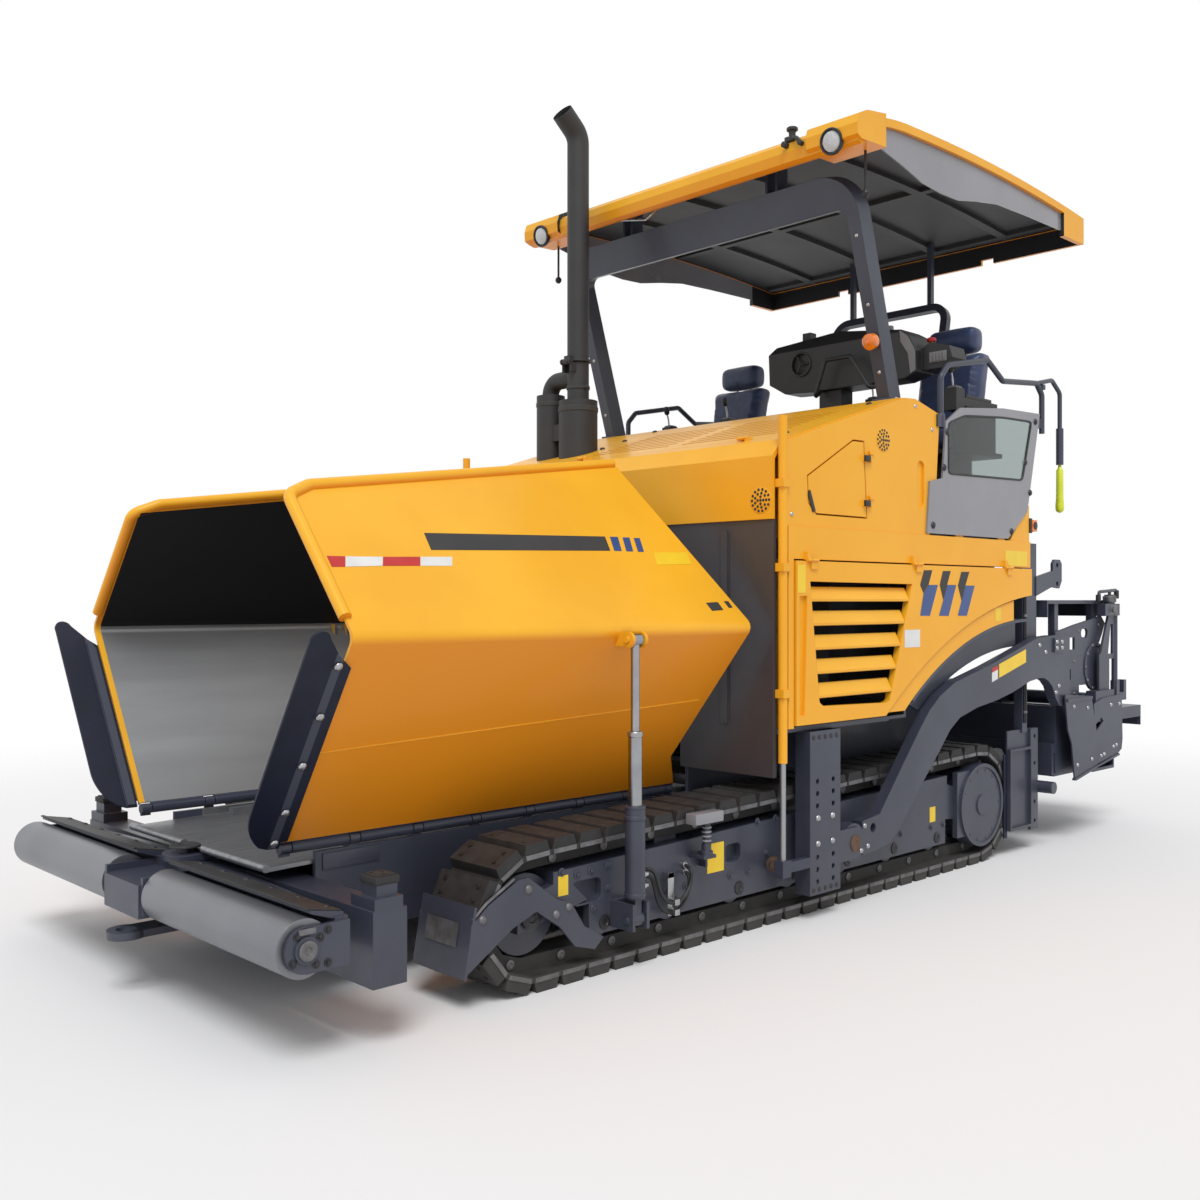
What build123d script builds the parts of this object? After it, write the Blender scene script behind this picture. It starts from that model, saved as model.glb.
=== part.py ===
from build123d import *
import math
import os

# Asphalt paver on crawler tracks, all sizes in millimetres
# +X is the way the machine drives, +Y its left side, +Z up, the ground is z = 0
# Every left-hand piece is drawn at positive y and mirrored for the right

# clearances
fit_gap = 0.3
hinge_gap = 5.0
run_gap = 8.0
track_gap = 6.0

# whole machine
half_width = 1250.0
sheet = 12.0
frame_plate = 20.0

# crawler tracks
shoe_outer_y = 1120.0
shoe_width = 305.0
shoe_count = 60
shoe_gap = 14.0
pad_height = 42.0
pad_bevel = 14.0
shoe_plate = 22.0
chain_height = 60.0
chain_width = 140.0
idler_x = 2050.0
idler_radius = 300.0
sprocket_x = -1450.0
sprocket_radius = 352.0
roller_radius = 78.0
roller_count = 7
roller_first_x = 1640.0
roller_last_x = -1010.0
wheel_slack = 12.0
roller_gap = 2.0

# track side frames
track_beam_inner_y = 866.0
track_beam_outer_y = 1090.0
track_beam_bottom = 296.0
track_beam_front_x = 1800.0
track_beam_rear_x = -1120.0
drive_cover_radius = 245.0
drive_cover_outer_y = 1136.0
guard_plate_y = 1124.0

# chassis
chassis_half_width = 626.0
chassis_bottom = 250.0
chassis_rear_x = -1650.0
chassis_front_x = 2750.0
hopper_rear_x = 600.0
deck_top = 950.0
deck_thickness = 25.0
hopper_side_top = 590.0
floor_plate = 16.0
deck_half_width = 1190.0
rear_deck_half_width = 680.0
deck_step_x = -360.0
cross_walls = (chassis_front_x - 20, 1500, 300, -600)
bracket_places = (1250, -900)

# front cross beam, push beam and rollers
beam_front_x = 2890.0
beam_bottom = 225.0
beam_top = 492.0
beam_half_width = 1240.0
block_length = 150.0
push_roller_x = 3150.0
push_roller_z = 415.0
push_roller_radius = 100.0
push_roller_inner_y = 190.0
push_roller_outer_y = 1222.0
push_pivot_x = 2985.0
push_pin_radius = 24.0
push_beam_top = 500.0
push_beam_bottom = 330.0
push_swing = 4.0
tow_eye_x = 3230.0
tow_eye_radius = 75.0
tow_eye_bore = 38.0

# hopper wings
hinge_y = 620.0
hinge_z = 620.0
hinge_radius = 22.0
hinge_pin_radius = 9.0
knuckle_length = 44.0
wing_front_x = 2910.0
wing_rear_x = 725.0
crease_y = 1155.0
crease_z = 1435.0
wing_top_y = 437.0
wing_top_z = 2262.0
wing_sheet = 14.0
trim_radius = 24.0
apron_thickness = 10.0
strip_thickness = 7.0
apron_front_x = 3086.0

# hopper floor and conveyor
floor_top = 560.0
floor_thickness = 15.0
floor_front_x = 2620.0
lip_front_x = 2960.0
flight_pitch = 280.0
flight_width = 50.0
flight_height = 26.0
chain_strand = 34.0

# wing lifting cylinders
lift_x = 1560.0
lift_y = 1192.0
lift_low_z = 222.0
lift_eye_z = 1398.0
lift_barrel_radius = 43.0
lift_barrel_top = 700.0
lift_stage_radius = 30.0
lift_stage_top = 1010.0
lift_rod_radius = 19.0
lift_slack = 1.0

# tow points and columns
column_front_x = 400.0
column_rear_x = 150.0
column_bottom = 128.0
column_inner_y = 1150.0
column_outer_y = 1240.0
column_sheet = 12.0
tow_x = 20.0
tow_z = 335.0
tow_pin_radius = 24.0
arm_inner_y = 1166.0
arm_outer_y = 1228.0
arm_eye_radius = 98.0
# tow arm seen from the side, anticlockwise from the tow point's top
arm_outline = [
    (-61, 434), (-220, 453), (-290, 530), (-506, 760), (-610, 868), (-707, 962), (-811, 1032), (-970, 1101),
    (-1335, 1178), (-1635, 1250), (-1952, 1330), (-2152, 1341), (-2290, 1341), (-2330, 1335), (-2330, 905),
    (-2289, 888), (-2250, 892), (-2200, 940), (-2150, 1020), (-2101, 1056), (-2040, 1078), (-1985, 1081),
    (-1855, 1067), (-1635, 1010), (-1453, 975), (-1220, 945), (-1025, 900), (-917, 837), (-811, 734), (-606, 549),
    (-409, 357), (-313, 291), (-197, 268), (-61, 262),
]

# bodywork
skin_y = 1235.0
skin = 30.0
belt_front_x = 564.0
belt_rear_x = -1845.0
belt_bottom = 1762.0
platform_z = 1940.0
platform_plate = 20.0
belt_top = platform_z - platform_plate
belt_depth = 45.0
door_sheet = 34.0
door_bottom = 962.0
door_gap = 8.0
door_hinge_radius = 9.0
door_pin_radius = 5.0
service_hinge_x = -122.0
service_hinge_y = 1236.0
louvre_hinge_y = 1254.0
louvre_hinge_z = 1758.0
bulkhead_x = 606.0
bulkhead_thickness = 24.0
panel_half_width = 1196.0
hood_front_x = 640.0
hood_bottom = 1950.0
hood_sheet = 22.0
hood_brow_z = 2250.0
hood_slope_x = 560.0
hood_slope_z = 2335.0
hood_rear_x = -640.0
hood_peak_x = -450.0
hood_peak_z = 2648.0

# arches over the rear of the track, seen from the side: the door's edge and the lip under it
door_arch_x = -2108.0
door_arch_z = -1398.6
door_arch_radius = 3003.6
lip_arch_x = -1834.5
lip_arch_z = -815.3
lip_arch_radius = 2266.4
lip_front_low = 976.0
lip_rear_end = -1640.0
lip_gap = 1.0
arch_steps = 20
fender_low_x = -519.0
fender_high_x = -1800.0
fender_depth = 170.0
fender_y = 1158.0
fender_plate = 18.0

# platform and canopy
platform_rear_x = -1845.0
screen_y = 1239.0
screen_thickness = 12.0
roof_front_x = 50.0
roof_rear_x = -2530.0
roof_half_width = 1270.0
arch_ears = (520.0, 590.0)
roof_corner_y = 1285.0
roof_edge = 45.0
roof_skin = 20.0
roof_rim = 3864.0
liner_drop = 27.0
liner_thickness = 12.0
visor_y = 1250.0
visor_thickness = 8.0
# roof's top line seen from the side: x, z
roof_line = [(20, 4000), (-200, 4056), (-471, 4082), (-1300, 4094), (-2498, 4032)]
# lower edge of the side visor: x, z
visor_line = [(-190, 3902), (-392, 3864), (-579, 3820), (-795, 3805), (-978, 3811), (-1190, 3852), (-1412, 3886),
              (-1739, 3896), (-2217, 3903)]
arch_foot_x = -560.0
arch_half_width = 1105.0
arch_lean = 17.0
arch_top = 3840.0
arch_depth = 110.0
arch_leg = 76.0
arch_bar = 190.0
arch_corner = 230.0
rear_arch_x = -1880.0
rear_arch_half_width = 470.0
rear_arch_top = 3590.0
rear_arch_lean = -12.0
rear_arch_tube = 50.0
rear_arch_corner = 130.0
rear_arch_bend = 80.0

# handrail seen from the side: x, z
handrail_y = 1222.0
handrail_radius = 17.0
hook_radius = 14.0
handrail_line = [(-827, 2522), (-827, 2805), (-900, 2879), (-1344, 2965), (-1526, 2866), (-1949, 2905), (-2019, 2842),
                 (-2019, 2600)]
hook_line = [(-1938, 2903), (-2152, 2949), (-2262, 2880), (-2262, 2440)]

# exhaust
exhaust_x = 190.0
exhaust_y = -640.0
exhaust_pipe_radius = 66.0
exhaust_wall = 4.0
silencer_radius = 118.0
silencer_small_radius = 88.0
silencer_small_y = -890.0
silencer_top = 2770.0
silencer_neck_top = 3000.0
elbow_z = 2915.0
elbow_radius = 52.0
exhaust_hinge_offset = 96.0
exhaust_top = 4380.0

# rear posts, lamp bracket and auger carriers
post_front_x = -1972.0
post_rear_x = -2096.0
post_inner_y = 1092.0
post_outer_y = 1148.0
post_step_z = 1325.0
post_slim = 60.0
carrier_x = (-1742.0, -2020.0)
carrier_z = (150.0, 650.0)
carrier_top = 760.0
strap_x = (-2004.0, -2100.0)
lamp_bracket_x = -2366.0
lamp_bracket_holes = (1670.0, 1790.0)
lamp_hole_radius = 16.0
lamp_bracket_outline = [
    (-2080, 1590), (-2290, 1648), (-2396, 1640), (-2430, 1690), (-2430, 1800), (-2404, 1826), (-2330, 1826),
    (-2304, 1800), (-2304, 1752), (-2080, 1712),
]

# screed
screed_front_x = -2330.0
screed_base_z = 430.0
screed_base_plate = 20.0
screed_half_width = 1160.0
screed_depth = 330.0
screed_tube_top = 760.0
deck_z = 1564.0
deck_fold = 24.0
deck_length = 800.0
deck_overhang = 112.0
cover_radius = 165.0
cover_z = 1116.0
extension_front_x = -2700.0
extension_depth = 320.0
extension_stroke = 1150.0
extension_top = 770.0
gate_inner_y = 1242.0
gate_thickness = 10.0
guide_tube_radius = 45.0
guide_tube_z = 900.0
left_tube_x = -2790.0
right_tube_x = -2930.0
extension_inner_y = 6.0
step_z = 745.0
step_plate = 80.0
step_rear_x = -3505.0

# screed lifting cylinders
hoist_y = 1050.0
hoist_top_x = -2012.0
hoist_top_z = 1850.0
hoist_low_x = -2055.0
hoist_low_z = 1180.0
hoist_barrel_radius = 36.0
hoist_rod_radius = 18.0
hoist_barrel_length = 470.0

hoist_pin_radius = 14.0
hoist_eye_radius = 44.0
hoist_eye_play = 14.0

# augers
auger_x = -2015.0
auger_z = 430.0
auger_radius = 190.0
auger_shaft_radius = 45.0
auger_inner_y = 90.0
auger_outer_y = 1085.0
flight_plate = 12.0
flight_count = 12
flight_turn = 110.0
flight_slant = 14.0
flight_offset = 60.0


def block(x, y, z):
    """Box between two x, two y and two z values."""
    size = (x[1] - x[0], y[1] - y[0], z[1] - z[0])
    middle = ((x[0] + x[1]) / 2, (y[0] + y[1]) / 2, (z[0] + z[1]) / 2)
    return Pos(*middle) * Box(*size)


def plate_xz(points, y):
    """Plate whose outline is seen from the side, between two y values."""
    plane = Plane(origin=(0, y[1], 0), x_dir=(1, 0, 0), z_dir=(0, -1, 0))
    return extrude(plane * Polygon(*points, align=None), amount=y[1] - y[0], dir=(0, -1, 0))


def plate_yz(points, x):
    """Plate whose outline is seen from the front, between two x values."""
    plane = Plane(origin=(x[0], 0, 0), x_dir=(0, 1, 0), z_dir=(1, 0, 0))
    return extrude(plane * Polygon(*points, align=None), amount=x[1] - x[0], dir=(1, 0, 0))


def plate_xy(points, z):
    """Plate whose outline is seen from above, between two z values."""
    plane = Plane.XY.offset(z[0])
    return extrude(plane * Polygon(*points, align=None), amount=z[1] - z[0], dir=(0, 0, 1))


def bar_x(x, y, z, radius):
    """Round bar along X."""
    return Pos((x[0] + x[1]) / 2, y, z) * Rot(0, 90, 0) * Cylinder(radius, x[1] - x[0])


def bar_y(x, y, z, radius):
    """Round bar along Y."""
    return Pos(x, (y[0] + y[1]) / 2, z) * Rot(90, 0, 0) * Cylinder(radius, y[1] - y[0])


def bar_z(x, y, z, radius):
    """Round bar along Z."""
    return Pos(x, y, (z[0] + z[1]) / 2) * Cylinder(radius, z[1] - z[0])


def tube_path(points, radius, bends):
    """Round bar along straight runs joined by arcs."""
    path = FilletPolyline(*points, radius=bends)
    start = Plane(origin=path @ 0, z_dir=path % 0)
    return sweep(start * Circle(radius), path=path)


def joined(parts):
    """Fuse a list of touching shapes into one."""
    whole = parts[0]
    for part in parts[1:]:
        whole = whole + part
    return whole


def together(*shapes):
    """One node out of separate solids."""
    solids = []
    for shape in shapes:
        solids.extend(shape.solids())
    return Compound(solids)


def mirrored(shape):
    """The right-hand twin of a left-hand piece."""
    return mirror(shape, about=Plane.XZ)


def line_offset(start, end, distance):
    """A straight section line moved sideways, to its left."""
    run = math.hypot(end[0] - start[0], end[1] - start[1])
    side = (-(end[1] - start[1]) / run * distance, (end[0] - start[0]) / run * distance)
    return (start[0] + side[0], start[1] + side[1]), (end[0] + side[0], end[1] + side[1])


def tangent_normal(first, second):
    """Outward normal of the belt run from one wheel to the next, anticlockwise."""
    run_x = second[0] - first[0]
    run_z = second[1] - first[1]
    run = math.hypot(run_x, run_z)
    along = (first[2] - second[2]) / run
    across = math.sqrt(1 - along * along)
    return (run_x * along + run_z * across) / run, (run_z * along - run_x * across) / run


def belt_point(travel, offset):
    """Point of the track loop after some travel from the sprocket's bottom, moved outwards."""
    idler = (idler_x, idler_radius, idler_radius - pad_height)
    sprocket = (sprocket_x, sprocket_radius, sprocket_radius - pad_height)
    low = tangent_normal(sprocket, idler)
    high = tangent_normal(idler, sprocket)
    low_angle = math.atan2(low[1], low[0])
    high_angle = math.atan2(high[1], high[0])
    run = math.hypot(idler[0] - sprocket[0], idler[1] - sprocket[1])
    straight = math.sqrt(run ** 2 - (sprocket[2] - idler[2]) ** 2)
    front_arc = idler[2] * (high_angle - low_angle)
    rear_arc = sprocket[2] * (2 * math.pi - high_angle + low_angle)
    travel = travel % (2 * straight + front_arc + rear_arc)
    if travel < straight:
        wheel, angle, along = sprocket, low_angle, travel
    elif travel < straight + front_arc:
        wheel, angle, along = idler, low_angle + (travel - straight) / idler[2], 0
    elif travel < 2 * straight + front_arc:
        wheel, angle, along = idler, high_angle, travel - straight - front_arc
    else:
        spent = travel - 2 * straight - front_arc
        wheel, angle, along = sprocket, high_angle + spent / sprocket[2], 0
    radius = wheel[2] + offset
    x = wheel[0] + radius * math.cos(angle) - along * math.sin(angle)
    z = wheel[1] + radius * math.sin(angle) + along * math.cos(angle)
    return x, z


def belt_length():
    """Length of the loop along the outside of the shoe plates."""
    low = tangent_normal((sprocket_x, sprocket_radius, sprocket_radius), (idler_x, idler_radius, idler_radius))
    run = math.hypot(idler_x - sprocket_x, idler_radius - sprocket_radius)
    straight = math.sqrt(run ** 2 - (sprocket_radius - idler_radius) ** 2)
    lean = 2 * (math.atan2(low[1], low[0]) + math.pi / 2)
    lean = lean + 2 * math.asin((sprocket_radius - idler_radius) / run)
    front_arc = (idler_radius - pad_height) * (math.pi - lean)
    rear_arc = (sprocket_radius - pad_height) * (math.pi + lean)
    return 2 * straight + front_arc + rear_arc


def crawler():
    """One track loop: bevelled pads on shoe plates, and the chain inside them."""
    pitch = belt_length() / shoe_count
    pads = []
    plate_line = []
    chain_line = []
    for shoe in range(shoe_count):
        start = shoe * pitch
        pads.append(belt_point(start + shoe_gap / 2, 0))
        pads.append(belt_point(start + shoe_gap / 2 + pad_bevel, pad_height))
        pads.append(belt_point(start + pitch - shoe_gap / 2 - pad_bevel, pad_height))
        pads.append(belt_point(start + pitch - shoe_gap / 2, 0))
        plate_line.append(belt_point(start, -shoe_plate))
        chain_line.append(belt_point(start, -shoe_plate - chain_height))
    inner_y = shoe_outer_y - shoe_width
    middle_y = shoe_outer_y - shoe_width / 2
    shoes = plate_xz(pads, (inner_y, shoe_outer_y)) - plate_xz(plate_line, (inner_y, shoe_outer_y))
    chain_y = (middle_y - chain_width / 2, middle_y + chain_width / 2)
    chain = plate_xz(plate_line, chain_y) - plate_xz(chain_line, chain_y)
    return shoes + chain


def return_run_z(x):
    """Underside of the chain's upper run at some x."""
    drop = (sprocket_radius - idler_radius) * 2 * (idler_x - x) / (idler_x - sprocket_x)
    return 2 * idler_radius - pad_height - shoe_plate - chain_height + drop


def running_gear():
    """Idler, sprocket with its drive housing, and the bottom rollers, inside the chain."""
    middle_y = shoe_outer_y - shoe_width / 2
    chain_y = (middle_y - chain_width / 2, middle_y + chain_width / 2)
    inner = pad_height + shoe_plate + chain_height
    idler_wheel = idler_radius - inner - wheel_slack
    sprocket_wheel = sprocket_radius - inner - wheel_slack
    axle_y = (track_beam_inner_y + 4, track_beam_outer_y - 4)
    gear = [bar_y(idler_x, chain_y, idler_radius, idler_wheel)]
    gear.append(bar_y(idler_x, axle_y, idler_radius, 60))
    gear.append(bar_y(sprocket_x, chain_y, sprocket_radius, sprocket_wheel))
    gear.append(bar_y(sprocket_x, (track_beam_inner_y, chain_y[1] + run_gap), sprocket_radius, 150))
    spacing = (roller_first_x - roller_last_x) / (roller_count - 1)
    for place in range(roller_count):
        x = roller_last_x + place * spacing
        z = inner + roller_radius + roller_gap
        gear.append(bar_y(x, chain_y, z, roller_radius))
        gear.append(bar_y(x, axle_y, z, 30))
    return Compound(make_separate(gear))


def make_separate(parts):
    """Join overlapping parts and give the separate solids back."""
    return joined(parts).solids()


def track_frame():
    """Side beam of one track with its guards, drive cover and lugs."""
    inner_y, outer_y = track_beam_inner_y, track_beam_outer_y
    front, rear, low = track_beam_front_x, track_beam_rear_x, track_beam_bottom
    clear = 22
    outline = [
        (rear, low),
        (front, low),
        (front + 130, low + 60),
        (front + 130, return_run_z(front + 130) - clear),
        (rear, return_run_z(rear) - clear),
    ]
    frame = plate_xz(outline, (inner_y, outer_y))
    # windows in the outer face: x, z, length, height
    pocket = 40
    for x, z, length, height in ((1745, 352, 170, 96), (800, 378, 110, 84), (-480, 400, 150, 90)):
        cut = Pos(x, outer_y - pocket / 2, z) * Rot(90, 0, 0) * extrude(
            RectangleRounded(length, height, 0.3 * height), amount=pocket / 2, both=True)
        frame = frame - cut
    # bottom roller hangers, one strip each side of the chain
    middle_y = shoe_outer_y - shoe_width / 2
    roller_z = pad_height + shoe_plate + chain_height + roller_radius + roller_gap
    for y in ((inner_y, middle_y - chain_width / 2 - run_gap), (middle_y + chain_width / 2 + run_gap, outer_y)):
        frame = frame + block((roller_last_x - 90, roller_first_x + 90), y, (roller_z - 44, low))
    for place in range(roller_count):
        x = roller_last_x + place * (roller_first_x - roller_last_x) / (roller_count - 1)
        frame = frame - bar_y(x, (inner_y - 1, outer_y + 1), roller_z, 30 + fit_gap)
        frame = frame - block((x - 92, x + 92), (middle_y - 86, middle_y + 86), (100, roller_z + roller_radius + 6))
    # skids that carry the upper run
    for x in (1200, 300, -600):
        top = return_run_z(x) - 2 * fit_gap
        frame = frame + block((x - 70, x + 70), (middle_y - 60, middle_y + 60), (low + 100, top - 2))
    # idler fork and drive bracket
    fork = [(front - 60, low + 20), (idler_x + 70, 240), (idler_x + 70, 360), (front + 60, low + 130)]
    for y in ((inner_y, middle_y - chain_width / 2 - run_gap), (middle_y + chain_width / 2 + run_gap, outer_y)):
        frame = frame + plate_xz(fork, y)
        frame = frame + plate_xz([(rear + 10, low), (rear + 10, 500), (-1330, 440), (-1330, 280)], y)
    frame = frame - bar_y(idler_x, (inner_y - 1, outer_y + 1), idler_radius, 60 + fit_gap)
    # brackets that carry the frame on the chassis
    for x in bracket_places:
        bracket_z = (low + 30, low + 140)
        frame = frame + block((x - 160, x + 160), (chassis_half_width + fit_gap, inner_y), bracket_z)
    return frame


def track_guards():
    """Final drive housing, front scraper with its brackets, and the cylinder's lower bracket."""
    outer_y = track_beam_outer_y
    middle_y = shoe_outer_y - shoe_width / 2
    inner_y = shoe_outer_y - shoe_width
    cover_y = (middle_y + chain_width / 2 + run_gap, drive_cover_outer_y)
    parts = [bar_y(sprocket_x, cover_y, sprocket_radius - 6, drive_cover_radius)]
    parts.append(block((-1320, -1180), (outer_y + fit_gap, drive_cover_outer_y - 14), (180, 560)))
    cover = joined(parts) - bar_y(
        sprocket_x, (drive_cover_outer_y - 8, drive_cover_outer_y + 1), sprocket_radius - 6, drive_cover_radius - 22)
    cover = cover + bar_y(sprocket_x, (drive_cover_outer_y - 9, drive_cover_outer_y), sprocket_radius - 6, 60)
    scraper = [(2368, 400), (2420, 132), (2408, 128), (2356, 396)]
    guard = plate_xz(scraper, (inner_y - 14, guard_plate_y + 12))
    hook = [
        (2405, 150), (2385, 330), (2300, 395), (2150, 470), (2100, 470), (1950, 360),
        (1870, 330), (1800, 225), (1745, 195), (1690, 160), (1740, 118), (1850, 150),
        (1935, 245), (2060, 330), (2180, 285),
    ]
    outer_hook = plate_xz(hook, (guard_plate_y, guard_plate_y + 12))
    inner_hook = plate_xz(hook, (inner_y - 14, inner_y - 4))
    bosses = [bar_y(1885, (outer_y + fit_gap, guard_plate_y), 318, 22)]
    bosses.append(bar_y(1885, (inner_y - 4, track_beam_inner_y - fit_gap), 318, 22))
    front = joined([guard, outer_hook, inner_hook, *bosses])
    # clevis that carries the wing cylinder
    lug_z = (lift_low_z - 42, lift_low_z + 70)
    ears = []
    for x in ((lift_x - 50, lift_x - 34), (lift_x + 34, lift_x + 50)):
        ears.append(block(x, (outer_y + fit_gap, lift_y + 36), lug_z))
    back = block((lift_x - 50, lift_x + 50), (outer_y + fit_gap, outer_y + 16), lug_z)
    pin = bar_x((lift_x - 58, lift_x + 58), lift_y, lift_low_z, 15)
    bracket = joined([back, *ears, pin])
    return Compound([*cover.solids(), *front.solids(), *bracket.solids()])


def main_frame():
    """Chassis side plates, floor, cross walls and the fixed knuckles of the wing hinges."""
    y_in = chassis_half_width - frame_plate
    outline = [
        (chassis_rear_x, chassis_bottom + 60),
        (chassis_rear_x + 200, chassis_bottom),
        (chassis_front_x, chassis_bottom),
        (chassis_front_x, hopper_side_top),
        (hopper_rear_x, hopper_side_top),
        (hopper_rear_x, deck_top - deck_thickness - fit_gap),
        (chassis_rear_x, deck_top - deck_thickness - fit_gap),
    ]
    parts = []
    for low, high in ((y_in, chassis_half_width), (-chassis_half_width, -y_in)):
        parts.append(plate_xz(outline, (low, high)))
    floor_z = (chassis_bottom, chassis_bottom + floor_plate)
    parts.append(block((chassis_rear_x + 200, chassis_front_x), (-y_in, y_in), floor_z))
    for x in cross_walls:
        wall_z = (floor_z[1], floor_top - floor_thickness - 60)
        parts.append(block((x, x + frame_plate), (-y_in, y_in), wall_z))
    for sign in (1, -1):
        parts.append(bar_x((wing_rear_x + 6, wing_front_x - 6), sign * hinge_y, hinge_z, hinge_pin_radius))
        for x in knuckle_places():
            parts.append(bar_x((x, x + knuckle_length), sign * hinge_y, hinge_z, hinge_radius))
            y = sorted((sign * (hinge_y - 6), sign * (hinge_y + 6)))
            parts.append(block((x, x + knuckle_length), y, (hopper_side_top - 1, hinge_z)))
    return joined(parts)


def deck_frame():
    """Deck over the tracks with the outriggers that carry the tow columns."""
    z = (deck_top - deck_thickness, deck_top)
    deck = block((deck_step_x, hopper_rear_x), (-deck_half_width, deck_half_width), z)
    deck = deck + block((chassis_rear_x, deck_step_x), (-rear_deck_half_width, rear_deck_half_width), z)
    for sign in (1, -1):
        y = sorted((sign * (chassis_half_width + fit_gap), sign * (column_inner_y - fit_gap)))
        deck = deck + block((column_rear_x + 30, column_front_x - 30), y, (740, z[0]))
    return deck


def front_beam():
    """Front cross beam with its end blocks, the push beam's pivot ears and the tow eye."""
    front_x = (chassis_front_x + fit_gap, beam_front_x)
    parts = [block(front_x, (-beam_half_width, beam_half_width), (beam_bottom, beam_top))]
    # end blocks: from y, to y, set back from the beam's two faces, bottom z, top z
    steps = (
        (block_length, 0, 16, 6, beam_top, beam_top + 42),
        (110, 15, 30, 24, beam_top + 42, beam_top + 86),
    )
    for sign in (1, -1):
        for wide, short, behind, before, low, top in steps:
            y = sorted((sign * (beam_half_width - wide), sign * (beam_half_width - short)))
            parts.append(block((front_x[0] + behind, front_x[1] - before), y, (low, top)))
        y = sorted((sign * (beam_half_width - 120), sign * (beam_half_width - 108)))
        parts.append(block((chassis_front_x - 76, front_x[0]), y, (beam_bottom + 40, beam_top - 60)))
    # pivot ears, pin and tow eye
    for z in ((push_beam_top + 4, push_beam_top + 30), (push_beam_bottom - 32, push_beam_bottom - 6)):
        ear = block((beam_front_x, push_pivot_x), (-90, 90), z) + bar_z(push_pivot_x, 0, z, 90)
        parts.append(ear)
    parts.append(block((beam_front_x - 40, beam_front_x), (-90, 90), (beam_top, push_beam_top + 30)))
    parts.append(bar_z(push_pivot_x, 0, (push_beam_bottom - 40, push_beam_top + 52), push_pin_radius))
    eye_z = (beam_bottom + 4, beam_bottom + 34)
    eye = block((beam_front_x - 20, tow_eye_x), (-60, 60), eye_z) + bar_z(tow_eye_x, 0, eye_z, tow_eye_radius)
    parts.append(eye - bar_z(tow_eye_x, 0, (beam_bottom, beam_bottom + 40), tow_eye_bore))
    return joined(parts)


def knuckle_places():
    """Where the fixed knuckles of a wing hinge start along X."""
    count = 8
    first = wing_rear_x + 6
    last = wing_front_x - 6 - knuckle_length
    return [first + (last - first) * place / (count - 1) for place in range(count)]


def rear_frame():
    """Rear wall of the tractor, posts, hoist brackets and the augers' carriers."""
    wall_x = (chassis_rear_x - 24, chassis_rear_x)
    wall_top = platform_z - platform_plate
    wall = block(wall_x, (-1090, 1090), (1560, wall_top)) + block(wall_x, (-680, 680), (720, 1560))
    parts = [wall]
    for sign in (1, -1):
        post_y = sorted((sign * post_inner_y, sign * post_outer_y))
        parts.append(block((post_rear_x, post_front_x), post_y, (post_step_z, wall_top)))
        # slimmer in front of the screed cylinder's lower pin
        parts.append(block((post_front_x - 1, post_front_x + post_slim), post_y, (740, wall_top)))
        tie_y = sorted((sign * 1000, sign * (post_inner_y + 1)))
        for z in ((1850, wall_top), (1600, 1680)):
            parts.append(block((post_front_x + 6, wall_x[0]), tie_y, z))
        # upper bracket of the screed cylinder
        hoist = sign * hoist_y
        for low, high in ((hoist - 44, hoist - 30), (hoist + 30, hoist + 44)):
            ear_z = (hoist_top_z - 40, wall_top)
            parts.append(block((hoist_top_x - 30, post_front_x + 7), (low, high), ear_z))
        parts.append(bar_y(hoist_top_x, (hoist - 50, hoist + 50), hoist_top_z, hoist_pin_radius))
        parts.append(auger_carrier(sign))
        # bracket for a work lamp
        tail_y = sorted((sign * 1140, sign * 1156))
        tail = plate_xz(lamp_bracket_outline, tail_y)
        for z in lamp_bracket_holes:
            tail = tail - bar_y(lamp_bracket_x, (tail_y[0] - 1, tail_y[1] + 1), z, lamp_hole_radius)
        parts.append(tail)
    # chain case that carries the augers' inner ends
    case = block((auger_x - 60, auger_x + 60), (-38, 38), (auger_z - 130, auger_z + 130))
    case = case + block((auger_x - 50, chassis_rear_x - 20), (-38, 38), (auger_z + 60, auger_z + 130))
    case = case + block((chassis_rear_x - 60, chassis_rear_x - 20), (-38, 38), (auger_z + 60, 760))
    parts.append(case)
    return joined(parts)


def auger_carrier(sign):
    """Recessed end plate with the auger's bearing, its holed strap and a stub, on one side."""
    inner_y = shoe_outer_y + track_gap
    front, rear = carrier_x
    low, top = carrier_z
    plate_y = sorted((sign * inner_y, sign * (inner_y + 12)))
    rim_y = sorted((sign * inner_y, sign * (inner_y + 34)))
    carrier = block((strap_x[1], front), plate_y, (low, carrier_top))
    for x in ((front - 16, front), (rear, rear + 16)):
        carrier = carrier + block(x, rim_y, (low, top))
    for z in ((low, low + 16), (top - 16, top)):
        carrier = carrier + block((rear, front), rim_y, z)
    strap_y = sorted((sign * (inner_y + 11), sign * (inner_y + 30)))
    carrier = carrier + block((strap_x[1], strap_x[0]), strap_y, (128, carrier_top))
    for z in (180, 300, 540, 710):
        carrier = carrier - bar_y(-2058, (strap_y[0] - 20, strap_y[1] + 20), z, 13)
    stub_y = sorted((sign * (inner_y + 5), sign * half_width))
    carrier = carrier + bar_y(-2128, stub_y, 386, 38)
    boss_y = sorted((sign * (auger_outer_y + 12), sign * (inner_y + 1)))
    carrier = carrier + bar_y(auger_x, boss_y, auger_z, auger_shaft_radius + 22)
    bore_y = sorted((sign * (auger_outer_y + 10), sign * (inner_y - 2)))
    return carrier - bar_y(auger_x, bore_y, auger_z, auger_shaft_radius + fit_gap)


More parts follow.
